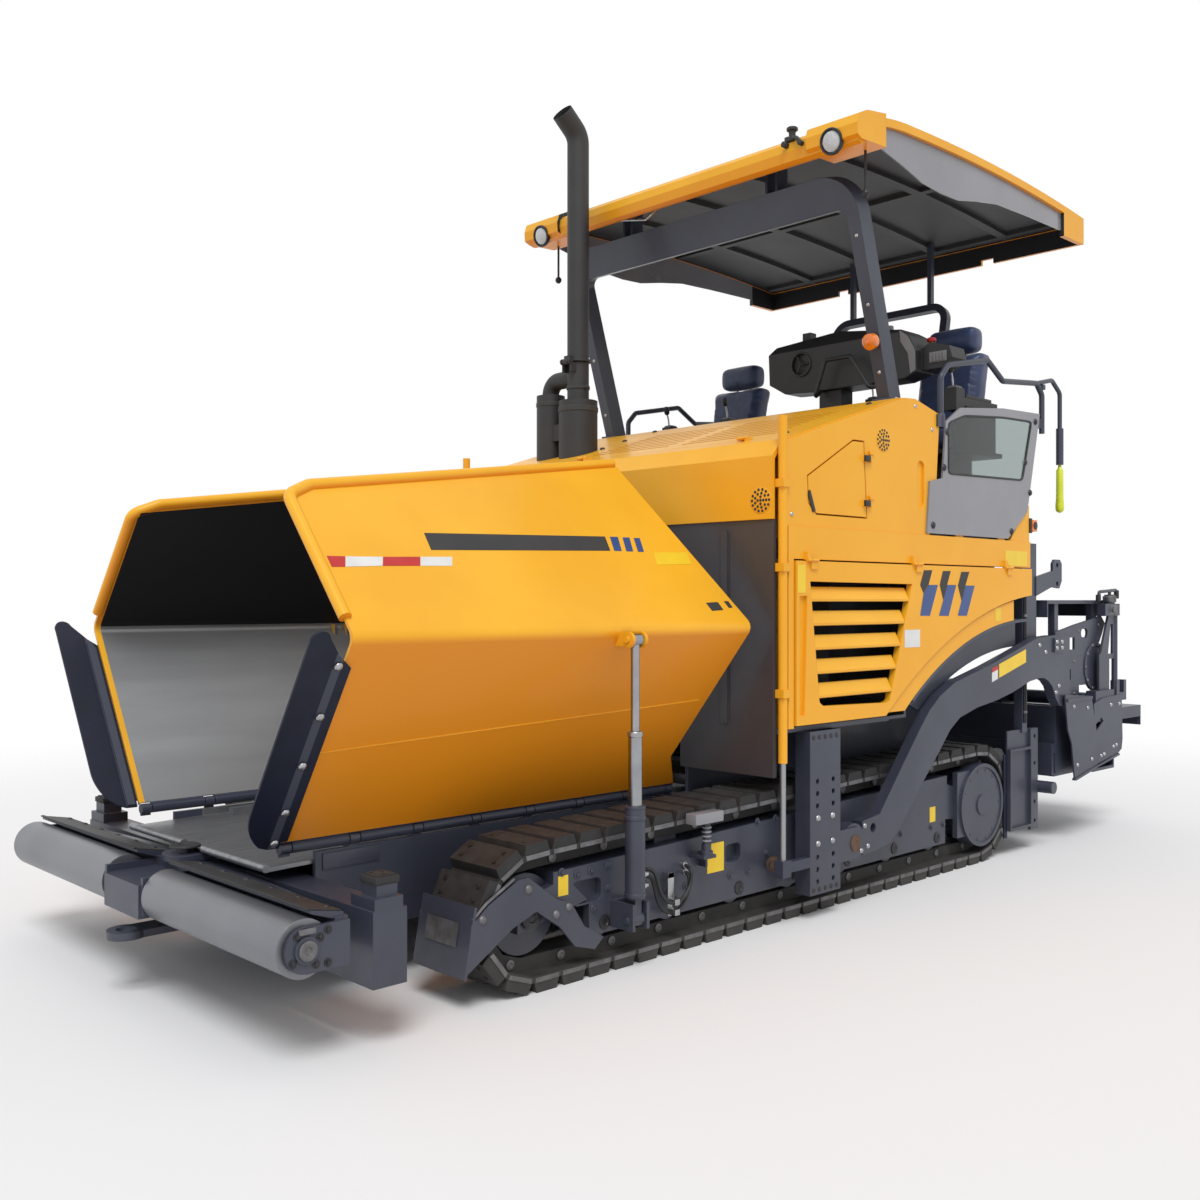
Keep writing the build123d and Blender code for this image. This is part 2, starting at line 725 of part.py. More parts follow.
def arc_points(center, radius, first, last, count):
    """Points of an arc, angles in degrees."""
    points = []
    for step in range(count + 1):
        angle = math.radians(first + (last - first) * step / count)
        points.append((center[0] + radius * math.cos(angle), center[1] + radius * math.sin(angle)))
    return points


def fender():
    """Mudguard over the rear of one track: arched shell with its upright side panel."""
    center = (lip_arch_x, lip_arch_z)
    low_angle = math.degrees(math.acos((fender_low_x - lip_arch_x) / lip_arch_radius))
    high_angle = math.degrees(math.acos((fender_high_x - lip_arch_x) / lip_arch_radius))
    outer = arc_points(center, lip_arch_radius - lip_gap, low_angle, high_angle, arch_steps)
    thin = arc_points(center, lip_arch_radius - fender_plate, high_angle, low_angle, arch_steps)
    deep = arc_points(center, lip_arch_radius - fender_depth, high_angle, low_angle + 3, arch_steps)
    shell = plate_xz(outer + thin, (680, skin_y - 1))
    panel = plate_xz(outer + deep, (fender_y - fender_plate, fender_y))
    low_x, low_z = outer[0]
    shelf = block((low_x - 6, deck_step_x), (rear_deck_half_width, deck_half_width), (deck_top - fender_plate, deck_top))
    wall = block((low_x - 6, low_x + 12), (rear_deck_half_width, deck_half_width), (deck_top - 1, low_z))
    return shell + panel + shelf + wall


def tow_column():
    """Channel at the side in which the tow point is held, with rows of holes."""
    top = deck_top - deck_thickness
    web = block((column_rear_x, column_front_x), (column_outer_y - column_sheet, column_outer_y), (column_bottom, top))
    front = block((column_front_x - column_sheet, column_front_x), (column_inner_y, column_outer_y), (column_bottom, top))
    rear = block((column_rear_x, column_rear_x + column_sheet), (column_inner_y, column_outer_y), (column_bottom, top))
    column = web + front + rear
    column = column + block((column_rear_x, column_front_x), (column_inner_y, column_inner_y + column_sheet), (730, top))
    for z in (190, 250, 310, 560, 620, 680):
        for x in (column_rear_x + 60, column_front_x - 60):
            column = column - bar_y(x, (column_outer_y - 20, column_outer_y + 1), z, 13)
    ear_z = (tow_z - 80, tow_z + 80)
    for y in ((arm_inner_y - 17, arm_inner_y - hinge_gap), (arm_outer_y + hinge_gap, column_outer_y)):
        column = column + block((tow_x - 30, column_rear_x + 1), y, ear_z)
    column = column + bar_y(tow_x, (arm_inner_y - 17, column_outer_y), tow_z, tow_pin_radius)
    return column


def levelling_ram():
    """Upright guide tube, rod and clevis in front of the tow column."""
    x, y = 592, 1222
    tube = bar_z(x, y, (790, 2440), 22)
    rod = bar_z(x, y, (330, 790), 15)
    clevis = block((x - 32, x + 32), (y - 26, y + 26), (250, 330))
    link = block((column_front_x + fit_gap, x - 32), (y - 18, y + 18), (268, 318))
    clamps = []
    for z in (1100, 1700, 2100):
        clamps.append(block((belt_front_x + fit_gap, x + 28), (y - 24, y + 26), (z, z + 40)))
    return joined([tube, rod, clevis, link, *clamps])


def hopper_floor():
    """Trough floor with upturned sides, its front plate and the rolled lips."""
    half = chassis_half_width - frame_plate - fit_gap
    floor = block((chassis_rear_x, floor_front_x), (-half, half), (floor_top - floor_thickness, floor_top))
    for sign in (1, -1):
        y = sorted((sign * (half - 12), sign * half))
        floor = floor + block((hopper_rear_x + 60, floor_front_x), y, (floor_top, hopper_side_top + 2))
    floor = floor + block((chassis_rear_x + 10, floor_front_x - 60), (-14, 14), (floor_top, floor_top + 34))
    nose = [
        (floor_front_x, floor_top),
        (floor_front_x, floor_top - floor_thickness),
        (lip_front_x - 20, beam_top + 44),
        (lip_front_x, beam_top + 60),
    ]
    floor = floor + plate_xz(nose, (-half, half))
    for low, high in ((90, half), (-half, -90)):
        floor = floor + bar_y(lip_front_x - 12, (low, high), beam_top + 58, 16)
    return floor


def conveyor():
    """Two slat conveyors: flight bars on pairs of chain strands over the floor."""
    solids = []
    first = chassis_rear_x + 60
    count = int((floor_front_x - 160 - first) / flight_pitch) + 1
    for sign in (1, -1):
        strands = []
        for y in (70, 500):
            low, high = sorted((sign * y, sign * (y + chain_strand)))
            x = (first - 10, floor_front_x - 100)
            strands.append(block(x, (low, high), (floor_top + fit_gap, floor_top + flight_height + 8)))
        for place in range(count):
            x = first + place * flight_pitch
            low, high = sorted((sign * 40, sign * 560))
            z = (floor_top + fit_gap, floor_top + flight_height)
            strands.append(block((x, x + flight_width), (low, high), z))
        solids.append(joined(strands))
    return Compound([*solids[0].solids(), *solids[1].solids()])


def bulkhead():
    """Dark cross wall behind the hopper, open over the conveyor."""
    x = (bulkhead_x, bulkhead_x + bulkhead_thickness)
    wall = block(x, (-panel_half_width, panel_half_width), (720, hood_bottom - fit_gap))
    wall = wall - block((x[0] - 1, x[1] + 1), (-600, 600), (719, 930))
    # stiffening folds on the hopper side: y
    for y in (-900, -300, 300, 900):
        wall = wall + block((x[1], x[1] + 14), (y - 20, y + 20), (960, 1900))
    return wall


def hood():
    """Engine hood shell from the brow at the hopper up to the operator's platform."""
    top = [
        (hood_front_x, hood_bottom),
        (hood_front_x, hood_brow_z),
        (hood_slope_x, hood_slope_z),
        (hood_peak_x, hood_peak_z),
        (hood_rear_x, hood_peak_z),
    ]
    inner = [
        (hood_rear_x, hood_peak_z - hood_sheet),
        (hood_peak_x, hood_peak_z - hood_sheet),
        (hood_slope_x - 8, hood_slope_z - hood_sheet),
        (hood_front_x - hood_sheet, hood_brow_z - 12),
        (hood_front_x - hood_sheet, hood_bottom),
    ]
    shell = plate_xz(top + inner, (-panel_half_width, panel_half_width))
    # opening under the lid
    shell = shell - lid_shape(hinge_gap, 80)
    shell = shell + block(
        (hood_rear_x, hood_rear_x + 20), (-panel_half_width, panel_half_width),
        (platform_z, hood_peak_z - hood_sheet))
    x, z = lid_hinge()
    for y in lid_hinges:
        fixed = bar_y(x, (y + 27, y + 50), z, door_hinge_radius)
        foot = plate_xz([(x - 6, z), (x + 8, z), slope_point(lid_front - 0.035, -4), slope_point(lid_front - 0.013, -4)],
                        (y + 27, y + 50))
        shell = shell + fixed + foot + bar_y(x, (y - 26, y + 50), z, door_pin_radius)
    return shell


lid_front = 0.10
lid_rear = 0.86
lid_low_y = -440.0
lid_high_y = 1040.0
lid_hinges = (-300, 880)


def slope_point(share, lift):
    """Point on the hood's slope, a share of the way up, moved square to it."""
    run_x = hood_peak_x - hood_slope_x
    run_z = hood_peak_z - hood_slope_z
    run = math.hypot(run_x, run_z)
    x = hood_slope_x + share * run_x + lift * run_z / run
    z = hood_slope_z + share * run_z - lift * run_x / run
    return x, z


def lid_hinge():
    """Axis of the lid's hinges, just in front of its lower edge and above the slope."""
    return slope_point(lid_front - 0.022, 14)


def lid_shape(grow, depth):
    """Slab in the hood's slope, as large as the lid plus a gap."""
    run = math.hypot(hood_peak_x - hood_slope_x, hood_peak_z - hood_slope_z)
    more = grow / run
    points = [
        slope_point(lid_front - more, 1),
        slope_point(lid_rear + more, 1),
        slope_point(lid_rear + more, -depth),
        slope_point(lid_front - more, -depth),
    ]
    return plate_xz(points, (lid_low_y - grow, lid_high_y + grow))


def hood_lid():
    """Louvred lid in the hood's slope."""
    points = [
        slope_point(lid_front, 0),
        slope_point(lid_rear, 0),
        slope_point(lid_rear, -hood_sheet),
        slope_point(lid_front, -hood_sheet),
    ]
    lid = plate_xz(points, (lid_low_y, lid_high_y))
    # two fields of louvre slots: first y, last y
    for low, high in ((-380, 240), (330, 980)):
        for row in range(9):
            share = lid_front + 0.12 + row * 0.065
            near = slope_point(share, 1)
            far = slope_point(share + 0.022, 1)
            under_far = slope_point(share + 0.022, -hood_sheet - 1)
            under_near = slope_point(share, -hood_sheet - 1)
            lid = lid - plate_xz([near, far, under_far, under_near], (low, high))
    x, z = lid_hinge()
    for y in lid_hinges:
        near = slope_point(lid_front + 0.05, 0)
        leaf = plate_xz([(x, z - 8), (x, z + 6), near, slope_point(lid_front + 0.05, -8)], (y - 22, y + 22))
        both = leaf + bar_y(x, (y - 22, y + 22), z, door_hinge_radius)
        lid = lid + (both - bar_y(x, (y - 50, y + 60), z, door_pin_radius + fit_gap))
    return lid


# outlines of the side bodywork, seen from the side
upper_outline = [
    (564, belt_top), (564, 2328), (-453, 2644), (-560, 2650), (-806, 2592), (-776, 2229), (-704, belt_top),
]
service_outline = [(400, 2165), (20, 2370), (-70, 2372), (-96, 1990), (330, 1990), (392, 2040)]
service_hinges = (2060, 2290)
louvre_hinges = (380, -560, -1560)
screen_outline = [
    (-660, 1930), (-690, 2215), (-820, 2240), (-850, 2470), (-852, 2556), (-1010, 2650), (-1500, 2700), (-1960, 2715),
    (-1800, 2100), (-1560, 1930),
]
window_outline = [(-880, 2270), (-880, 2550), (-1060, 2610), (-1500, 2645), (-1850, 2655), (-1735, 2290)]


def grown(outline, gap):
    """The outline moved outwards by a gap."""
    face = make_face(Polyline(*outline, close=True))
    return offset(face, amount=gap, kind=Kind.INTERSECTION)


def panel_xz(face, y):
    """Extrude a face drawn in side view between two y values."""
    plane = Plane(origin=(0, y[1], 0), x_dir=(1, 0, 0), z_dir=(0, -1, 0))
    return extrude(plane * face, amount=y[1] - y[0], dir=(0, -1, 0))


def side_body():
    """Upper side panel, belt beam, front pillar and rear post of one side."""
    y = (skin_y - skin, skin_y)
    upper = plate_xz(upper_outline, (panel_half_width + fit_gap, skin_y - 8))
    hole = panel_xz(grown(service_outline, door_gap), (panel_half_width - 1, skin_y))
    upper = upper - hole
    slot = Pos(-615, skin_y - 8, 2190) * Rot(90, 0, 0) * extrude(SlotOverall(260, 70, rotation=90), amount=14, both=True)
    upper = upper - slot
    belt = block((belt_rear_x, belt_front_x), (skin_y - belt_depth, skin_y), (belt_bottom, belt_top))
    pillar_y = (panel_half_width - 40, skin_y)
    pillar = block((belt_front_x - 42, belt_front_x), pillar_y, (deck_top, belt_bottom))
    tail = [(belt_rear_x, belt_top), (belt_rear_x, 2140), (belt_rear_x + 30, 2140), (belt_rear_x + 240, belt_top)]
    wedge = plate_xz(tail, (skin_y - 30, skin_y - 8))
    # brackets that hold the side screen
    brackets = []
    for x in (-1020, -1500):
        brackets.append(block((x - 40, x + 40), (skin_y - 20, skin_y - 8), (belt_top, belt_top + 90)))
    body = joined([upper, belt, pillar, wedge, arch_lip(), *brackets])
    # hinge halves: two for the service door, three for the louvre door
    for z in service_hinges:
        x = service_hinge_x
        fixed = bar_z(x, service_hinge_y, (z + 21, z + 40), door_hinge_radius)
        leaf = block((x - 34, x), (skin_y - 8, service_hinge_y), (z + 21, z + 40))
        body = body + fixed + leaf + bar_z(x, service_hinge_y, (z - 20, z + 40), door_pin_radius)
    for x in louvre_hinges:
        fixed = bar_x((x + 31, x + 60), louvre_hinge_y, louvre_hinge_z, door_hinge_radius)
        leaf = block((x + 31, x + 60), (skin_y - 1, louvre_hinge_y), (louvre_hinge_z, louvre_hinge_z + 40))
        pin = bar_x((x - 30, x + 60), louvre_hinge_y, louvre_hinge_z, door_pin_radius)
        body = body + fixed + leaf + pin
    return body


def arch_lip():
    """Yellow strip that follows the mudguard under the louvre door's arched edge."""
    center = (lip_arch_x, lip_arch_z)
    low = math.degrees(math.asin((lip_front_low - lip_arch_z) / lip_arch_radius))
    high = math.degrees(math.acos((lip_rear_end - lip_arch_x) / lip_arch_radius))
    inner = arc_points(center, lip_arch_radius, low, high, arch_steps)
    door = (door_arch_x, door_arch_z)
    reach = door_arch_radius - door_gap
    first = math.degrees(math.asin((lip_front_low - door_arch_z) / reach))
    last = math.degrees(math.acos((lip_rear_end - door_arch_x) / reach))
    outer = arc_points(door, reach, last, first, arch_steps)
    strip = plate_xz(inner + outer, (skin_y - skin, skin_y - 2))
    # tab that holds the strip on the belt's rear end
    low_z = lip_arch_z + math.sqrt(lip_arch_radius ** 2 - (lip_rear_end - lip_arch_x) ** 2) + 2 * fit_gap
    tab_y = (skin_y - skin - 12, skin_y - skin + 1)
    tab = block((lip_rear_end - 1, lip_rear_end + 60), tab_y, (low_z, belt_bottom + 2))
    return strip + tab


def louvre_door():
    """Large lower side door with its louvred opening and the arched rear edge."""
    y = (skin_y - door_sheet + 10, skin_y + 10)
    top = belt_bottom - door_gap
    low = math.degrees(math.asin((door_bottom - door_arch_z) / door_arch_radius))
    high = math.degrees(math.acos((belt_rear_x - door_arch_x) / door_arch_radius))
    arch = arc_points((door_arch_x, door_arch_z), door_arch_radius, low, high, arch_steps)
    outline = [(belt_front_x - 50, top), (belt_front_x - 50, door_bottom)] + arch
    outline = outline + [(belt_rear_x, top)]
    door = plate_xz(outline, y)
    opening = [(406, 1655), (-500, 1650), (-285, 1040), (-250, 1030), (300, 1045), (330, 1065)]
    door = door - plate_xz(opening, (y[0] - 1, y[1] + 1))
    # slanted louvre blades: height of the lower edge
    for place in range(5):
        z = 1085 + place * 118
        share = (z - 1040) / (1655 - 1040)
        front = 330 + share * 76 + 4
        rear = -285 - share * 215 - 4
        blade = [(y[1] - 2, z), (y[1] - 2, z + 14), (y[0] + 2, z + 74), (y[0] + 2, z + 60)]
        door = door + plate_yz(blade, (rear, front))
    # long recess beside the front edge
    recess = [(490, 1585), (430, 1585), (452, 1010), (490, 1010)]
    door = door - plate_xz(recess, (y[1] - 16, y[1] + 1))
    for x in louvre_hinges:
        moving = bar_x((x - 26, x + 26), louvre_hinge_y, louvre_hinge_z, door_hinge_radius)
        leaf = block((x - 26, x + 26), (y[1] - 1, louvre_hinge_y), (louvre_hinge_z - 44, louvre_hinge_z))
        both = moving + leaf
        door = door + (both - bar_x((x - 40, x + 70), louvre_hinge_y, louvre_hinge_z, door_pin_radius + fit_gap))
    return door


def service_door():
    """Rounded service door of the upper side panel."""
    door = plate_xz(service_outline, (skin_y - 30, skin_y - 8))
    for z in service_hinges:
        x = service_hinge_x
        moving = bar_z(x, service_hinge_y, (z - 16, z + 16), door_hinge_radius)
        leaf = block((x, x + 62), (skin_y - 8, service_hinge_y), (z - 16, z + 16))
        leaf = leaf - block((x - 40, service_outline[3][0] + 6), (skin_y - 10, skin_y - 3), (z - 20, z + 20))
        both = moving + leaf
        door = door + (both - bar_z(x, service_hinge_y, (z - 30, z + 50), door_pin_radius + fit_gap))
    return door


def platform():
    """Operator's floor with the low rear wall and the seats' side boxes."""
    z = (platform_z - platform_plate, platform_z)
    parts = [block((platform_rear_x, hood_rear_x), (-panel_half_width, panel_half_width), z)]
    for sign in (1, -1):
        y = sorted((sign * 640, sign * 1160))
        parts.append(block((-1700, -1190), y, (platform_z, 2190)))
    parts.append(block((platform_rear_x, platform_rear_x + 20), (-1150, 1150), (platform_z, 2080)))
    return joined(parts)


def seat_base():
    """Seat pedestal, side consoles with armrests and levers."""
    middle = 850
    parts = [block((-1560, -1230), (middle - 150, middle + 150), (2190, 2420))]
    parts.append(block((-1640, -1130), (middle - 306, middle + 306), (2420, 2446)))
    for y in (middle - 270, middle + 270):
        parts.append(block((-1560, -1220), (y - 36, y + 36), (2446, 2690)))
        rest = block((-1580, -1130), (y - 38, y + 38), (2690, 2740))
        parts.append(rest + block((-1200, -1105), (y - 38, y + 38), (2660, 2790)))
    return joined(parts)


def seat_cushion():
    """Cushion, backrest and head piece of one seat as one closed form."""
    middle = 850
    base = block((-1590, -1110), (middle - 228, middle + 228), (2446 + fit_gap, 2590))
    side = [(-1590, 2560), (-1470, 2560), (-1560, 3060), (-1590, 3120), (-1690, 3120), (-1690, 3060)]
    back = plate_xz(side, (middle - 225, middle + 225))
    head = [(-1600, 3110), (-1590, 3290), (-1690, 3300), (-1700, 3110)]
    return base + back + plate_xz(head, (middle - 150, middle + 150))


def side_screen():
    """Smoked side screen of the platform around its window."""
    y = (screen_y - screen_thickness, screen_y)
    frame = plate_xz(screen_outline, y)
    frame = frame - plate_xz(window_outline, (y[0] - 1, y[1] + 1))
    return frame


def screen_glass():
    """The window pane of the side screen."""
    return panel_xz(grown(window_outline, -fit_gap), (screen_y - screen_thickness + 4, screen_y - 4))


def handrail():
    """Bent rail over the side screen with its foot, its clamp and the outer hook."""
    y = handrail_y
    rail = tube_path([(x, y, z) for x, z in handrail_line], handrail_radius, 40)
    hook = tube_path([(x, y, z) for x, z in hook_line], hook_radius, 40)
    sleeve = bar_z(hook_line[-1][0], y, (2425, 2655), 23)
    front_x = handrail_line[0][0]
    foot = block((front_x - 12, front_x + 55), (skin_y - 8 + fit_gap, skin_y + 4), (2522, 2590))
    clamp = block((-2038, -1925), (y - 10, y + 4.7), (2630, 2690))
    return joined([rail, hook, sleeve, foot, clamp])


def console():
    """Operator's console on its post: faceted box, end pod, dished dial and grab rail."""
    front = [
        (-60, 2930), (-60, 3115), (-20, 3165), (430, 3205), (900, 3135), (960, 3090), (1000, 3000), (1000, 2880),
        (900, 2842), (360, 2842), (60, 2860),
    ]
    side = [(-940, 2850), (-925, 3120), (-985, 3205), (-1250, 3075), (-1235, 2960), (-1130, 2890), (-1085, 2840)]
    body = plate_yz(front, (-1260, -920)) & plate_xz(side, (-70, 1010))
    body = body - bar_x((-960, -900), 190, 3030, 72)
    body = body + bar_x((-985, -955), 190, 3030, 34)
    body = body + block((-1060, -1000), (150, 210), (3150, 3236))
    pod = plate_yz([(990, 2890), (990, 3010), (1060, 3045), (1180, 3010), (1200, 2940), (1130, 2890)], (-1150, -990))
    post = block((-1090, -970), (300, 460), (2240, 2860))
    foot = block((-1140, -800), (190, 570), (2200, 2242))
    rail = tube_path([(-955, 330, 2855), (-850, 350, 2790), (-850, 430, 3010), (-850, 610, 3010),
                      (-850, 745, 2800), (-955, 765, 2855)], 12, 25)
    return joined([body, pod, post, foot, rail])


def console_slide():
    """Rails across the platform that carry the console."""
    parts = []
    for x in (-1120, -850):
        parts.append(block((x - 14, x + 14), (-560, 1120), (2176, 2200 - fit_gap)))
    bed = block((-1180, -760), (-600, 1160), (2150, 2176))
    legs = []
    for y in (-560, 600):
        legs.append(block((-1100, -840), (y - 30, y + 30), (platform_z + fit_gap, 2150)))
    return joined([bed, *parts, *legs])


def leaning(face_shape, foot, lean, depth):
    """Stand a bent bar outline up at its foot, an x and a z, and lean it forwards."""
    plane = Plane(origin=(-depth / 2, 0, 0), x_dir=(0, 1, 0), z_dir=(1, 0, 0))
    bar = extrude(plane * face_shape, amount=depth, dir=(1, 0, 0))
    return Pos(foot[0], 0, foot[1]) * Rot(0, lean, 0) * bar


def arch_face(half, height, leg, bar, corner):
    """Upside-down U outline with round corners, foot at zero."""
    extra = 400
    outer = Pos(0, (height - extra) / 2) * RectangleRounded(2 * half, height + extra, corner)
    inner_height = height - bar
    inner_corner = max(corner - bar, 60)
    inner = Pos(0, (inner_height - extra) / 2) * RectangleRounded(2 * (half - leg), inner_height + extra, inner_corner)
    keep = Pos(0, height / 2) * Rectangle(2 * half, height)
    return (outer - inner) & keep


def canopy_arches():
    """Front arch with its ears to the roof, and the lighter rear hoop with its struts."""
    under_roof = panel_xz(roof_face(liner_drop + liner_thickness + fit_gap), (-roof_half_width, roof_half_width))
    height = (arch_top - hood_peak_z) / math.cos(math.radians(arch_lean))
    outline = arch_face(arch_half_width, height, arch_leg, arch_bar, arch_corner)
    front = leaning(outline, (arch_foot_x, hood_peak_z), arch_lean, arch_depth)
    below = block((-1400, 400), (-1400, 1400), (hood_peak_z - 300, hood_peak_z + 14))
    parts = [front - below]
    for sign in (1, -1):
        y = sorted((sign * (arch_half_width - 100), sign * (arch_half_width + 24)))
        foot = block((arch_foot_x - 70, arch_foot_x + 80), y, (hood_peak_z + fit_gap, hood_peak_z + 16))
        parts.append(foot)
        for ear_y in arch_ears:
            y = sorted((sign * ear_y, sign * (ear_y + 16)))
            ear = block((-250, -160), y, (arch_top - 60, 4100)) & under_roof
            parts.append(ear)
    rear_height = (rear_arch_top - platform_z) / math.cos(math.radians(rear_arch_lean))
    tube = rear_arch_tube
    hoop = arch_face(rear_arch_half_width, rear_height, tube, tube, rear_arch_corner)
    rear = leaning(hoop, (rear_arch_x, platform_z), rear_arch_lean, tube)
    rear = rear - block((-3000, 0), (-1400, 1400), (platform_z - 300, platform_z + fit_gap))
    # the hoop is bolted together where its corners start
    joint_z = rear_arch_top - (tube + rear_arch_bend) * math.cos(math.radians(rear_arch_lean)) + 3
    above = block((-3000, 0), (-1400, 1400), (joint_z + fit_gap, 4200))
    below = block((-3000, 0), (-1400, 1400), (platform_z - 300, joint_z - fit_gap))
    rear_top = [rear & above]
    rear_parts = []
    for sign in (1, -1):
        leg_y = sorted((sign * 100, sign * 1400))
        rear_parts.append((rear & below) & block((-3000, 0), leg_y, (0, 4200)))
        y = sorted((sign * (rear_arch_half_width - 70), sign * (rear_arch_half_width + 12)))
        foot = block((rear_arch_x - 50, platform_rear_x), y, (1850, platform_z + 60))
        rear_parts[-1] = rear_parts[-1] + foot
        y = sorted((sign * 300, sign * 330))
        strut = block((-2250, -2212), y, (rear_arch_top - 40, 4100)) & under_roof
        rear_top.append(strut)
    return together(joined(parts), joined(rear_top), *rear_parts)


def roof_face(drop):
    """Side view of what lies under the roof's curved top line, moved down by a drop."""
    first, brow, peak, middle, last = [(x, z - drop) for x, z in roof_line]
    crown = ThreePointArc(first, brow, peak) + ThreePointArc(peak, middle, last)
    rest = Polyline(last, (last[0], roof_rim - 500), (first[0], roof_rim - 500), first)
    return make_face(crown + rest)


def roof_band(upper, lower, x, y):
    """Curved plate between two drops under the roof's top line."""
    keep = block(x, y, (roof_rim - 400, 4200))
    return (panel_xz(roof_face(upper), y) - panel_xz(roof_face(lower), (y[0] - 1, y[1] + 1))) & keep


def canopy_roof():
    """Roof skin with its rim, the front and rear fascias and the protruding corner blocks."""
    half = roof_half_width
    rear = roof_line[-1][0]
    front = roof_line[0][0]
    whole_y = (-half, half)
    roof = roof_band(0, roof_edge, (rear, front), whole_y)
    rim = 38
    roof = roof - roof_band(roof_skin, roof_edge + 60, (rear + rim, front - rim), (-half + rim, half - rim))
    fascia = [(-50, 3996), (22, 3998), (44, 3975), (50, 3930), (38, 3880), (6, 3872), (-18, 3874), (-18, 3950)]
    roof = roof + plate_xz(fascia, whole_y)
    corner = [(66, 3902), (70, 3960), (52, 4010), (-20, 4044), (-190, 4070), (-190, 3896), (30, 3886)]
    for sign in (1, -1):
        y = sorted((sign * 965, sign * roof_corner_y))
        roof = roof + plate_xz(corner, y)
        y = sorted((sign * (visor_y - 10), sign * half))
        tail = block((rear, -2221), y, (roof_rim, 4020))
        roof = roof + tail
    # rear fascia with two notches in its lower edge
    back = block((rear, rear + 24), whole_y, (roof_rim, 4010))
    for y in (-620, 560):
        back = back - block((rear - 1, rear + 25), (y, y + 90), (roof_rim - 1, roof_rim + 34))
    roof = roof + back
    return roof


def roof_liner():
    """Black underside panel of the roof with its two long ribs and two cross ribs."""
    rim = 38 + fit_gap
    half = roof_half_width - rim
    x = (roof_line[-1][0] + rim, -192)
    low = liner_drop + liner_thickness
    liner = roof_band(liner_drop, low, (x[0], x[1]), (-half, half))
    for y in (-820, -300, 240, 760):
        liner = liner + roof_band(low - 1, low + 26, (x[0] + 60, x[1] - 90), (y, y + 60))
    for rib_x in (-2380, -1330):
        liner = liner + roof_band(low - 1, low + 26, (rib_x, rib_x + 50), (-1180, 1180))
    return liner


def side_visor():
    """Smoked visor under the roof's side, with its wavy lower edge."""
    y = (visor_y - visor_thickness, visor_y)
    first, last = visor_line[0], visor_line[-1]
    outline = [(first[0] - 4, 4100), *[(x - 2, z) for x, z in visor_line], (last[0], 4100)]
    outline[0] = (first[0] - 2, 4100)
    outline[-1] = (last[0] - 2, 4100)
    return plate_xz(outline, y) & panel_xz(roof_face(roof_edge + fit_gap), (y[0] - 1, y[1] + 1))


def silencer():
    """Twin silencer bodies on the hood, the elbow between them and the pipe's seat."""
    base = slope_z(exhaust_x) - 60
    large = bar_z(exhaust_x, exhaust_y, (base, silencer_top), silencer_radius)
    small = bar_z(exhaust_x, silencer_small_y, (base, silencer_top + 60), silencer_small_radius)
    bridge = block((exhaust_x - 50, exhaust_x + 50), (silencer_small_y, exhaust_y), (base + 150, base + 250))
    neck = bar_z(exhaust_x, exhaust_y, (silencer_top, silencer_neck_top), exhaust_pipe_radius)
    route = [
        (exhaust_x, silencer_small_y, silencer_top + 50),
        (exhaust_x, silencer_small_y, elbow_z),
        (exhaust_x, exhaust_y, elbow_z),
    ]
    elbow = tube_path(route, elbow_radius, 80)
    hinge_x = exhaust_x + exhaust_hinge_offset
    ears = []
    for y in (exhaust_y - 40, exhaust_y + 28):
        ear = block((exhaust_x, hinge_x), (y, y + 12), (silencer_neck_top - 60, silencer_neck_top - 6))
        ears.append(ear + bar_y(hinge_x, (y, y + 12), silencer_neck_top, 18))
    pin = bar_y(hinge_x, (exhaust_y - 46, exhaust_y + 46), silencer_neck_top, 8)
    whole = joined([large, small, bridge, neck, elbow, *ears, pin])
    # the foot follows the hood's slope
    under = [
        (exhaust_x - 300, slope_z(exhaust_x - 300) + fit_gap),
        (exhaust_x + 300, slope_z(exhaust_x + 300) + fit_gap),
        (exhaust_x + 300, 2000),
        (exhaust_x - 300, 2000),
    ]
    return whole - plate_xz(under, (-1150, -400))


def slope_z(x):
    """Height of the hood's slope at some x."""
    return hood_slope_z + (hood_slope_x - x) * (hood_peak_z - hood_slope_z) / (hood_slope_x - hood_peak_x)


def exhaust_pipe():
    """Upright pipe with its bent tip, which folds forward about the hinge on the silencer."""
    start_z = silencer_neck_top + hinge_gap
    tip = (exhaust_x + 130, exhaust_y, exhaust_top + 110)
    route = [(exhaust_x, exhaust_y, start_z), (exhaust_x, exhaust_y, exhaust_top), tip]
    pipe = tube_path(route, exhaust_pipe_radius, 110)
    flange = bar_z(exhaust_x, exhaust_y, (start_z, start_z + 14), exhaust_pipe_radius + 14)
    hinge_x = exhaust_x + exhaust_hinge_offset
    ear = block((exhaust_x, hinge_x), (exhaust_y - 22, exhaust_y + 22), (start_z, start_z + 30))
    eye = bar_y(hinge_x, (exhaust_y - 22, exhaust_y + 22), silencer_neck_top, 18)
    shape = joined([pipe, flange, ear, eye])
    shape = shape - bar_y(hinge_x, (exhaust_y - 60, exhaust_y + 60), silencer_neck_top, 8 + fit_gap)
    mouth = Plane(origin=Vector(*tip), z_dir=Vector(130, 0, 110).normalized())
    bore = extrude(mouth * Circle(exhaust_pipe_radius - exhaust_wall), amount=-90)
    return shape - bore


def engine_block():
    """Plain block for the closed-in engine."""
    return block((-900, 300), (-420, 420), (deck_top + fit_gap, 1750))


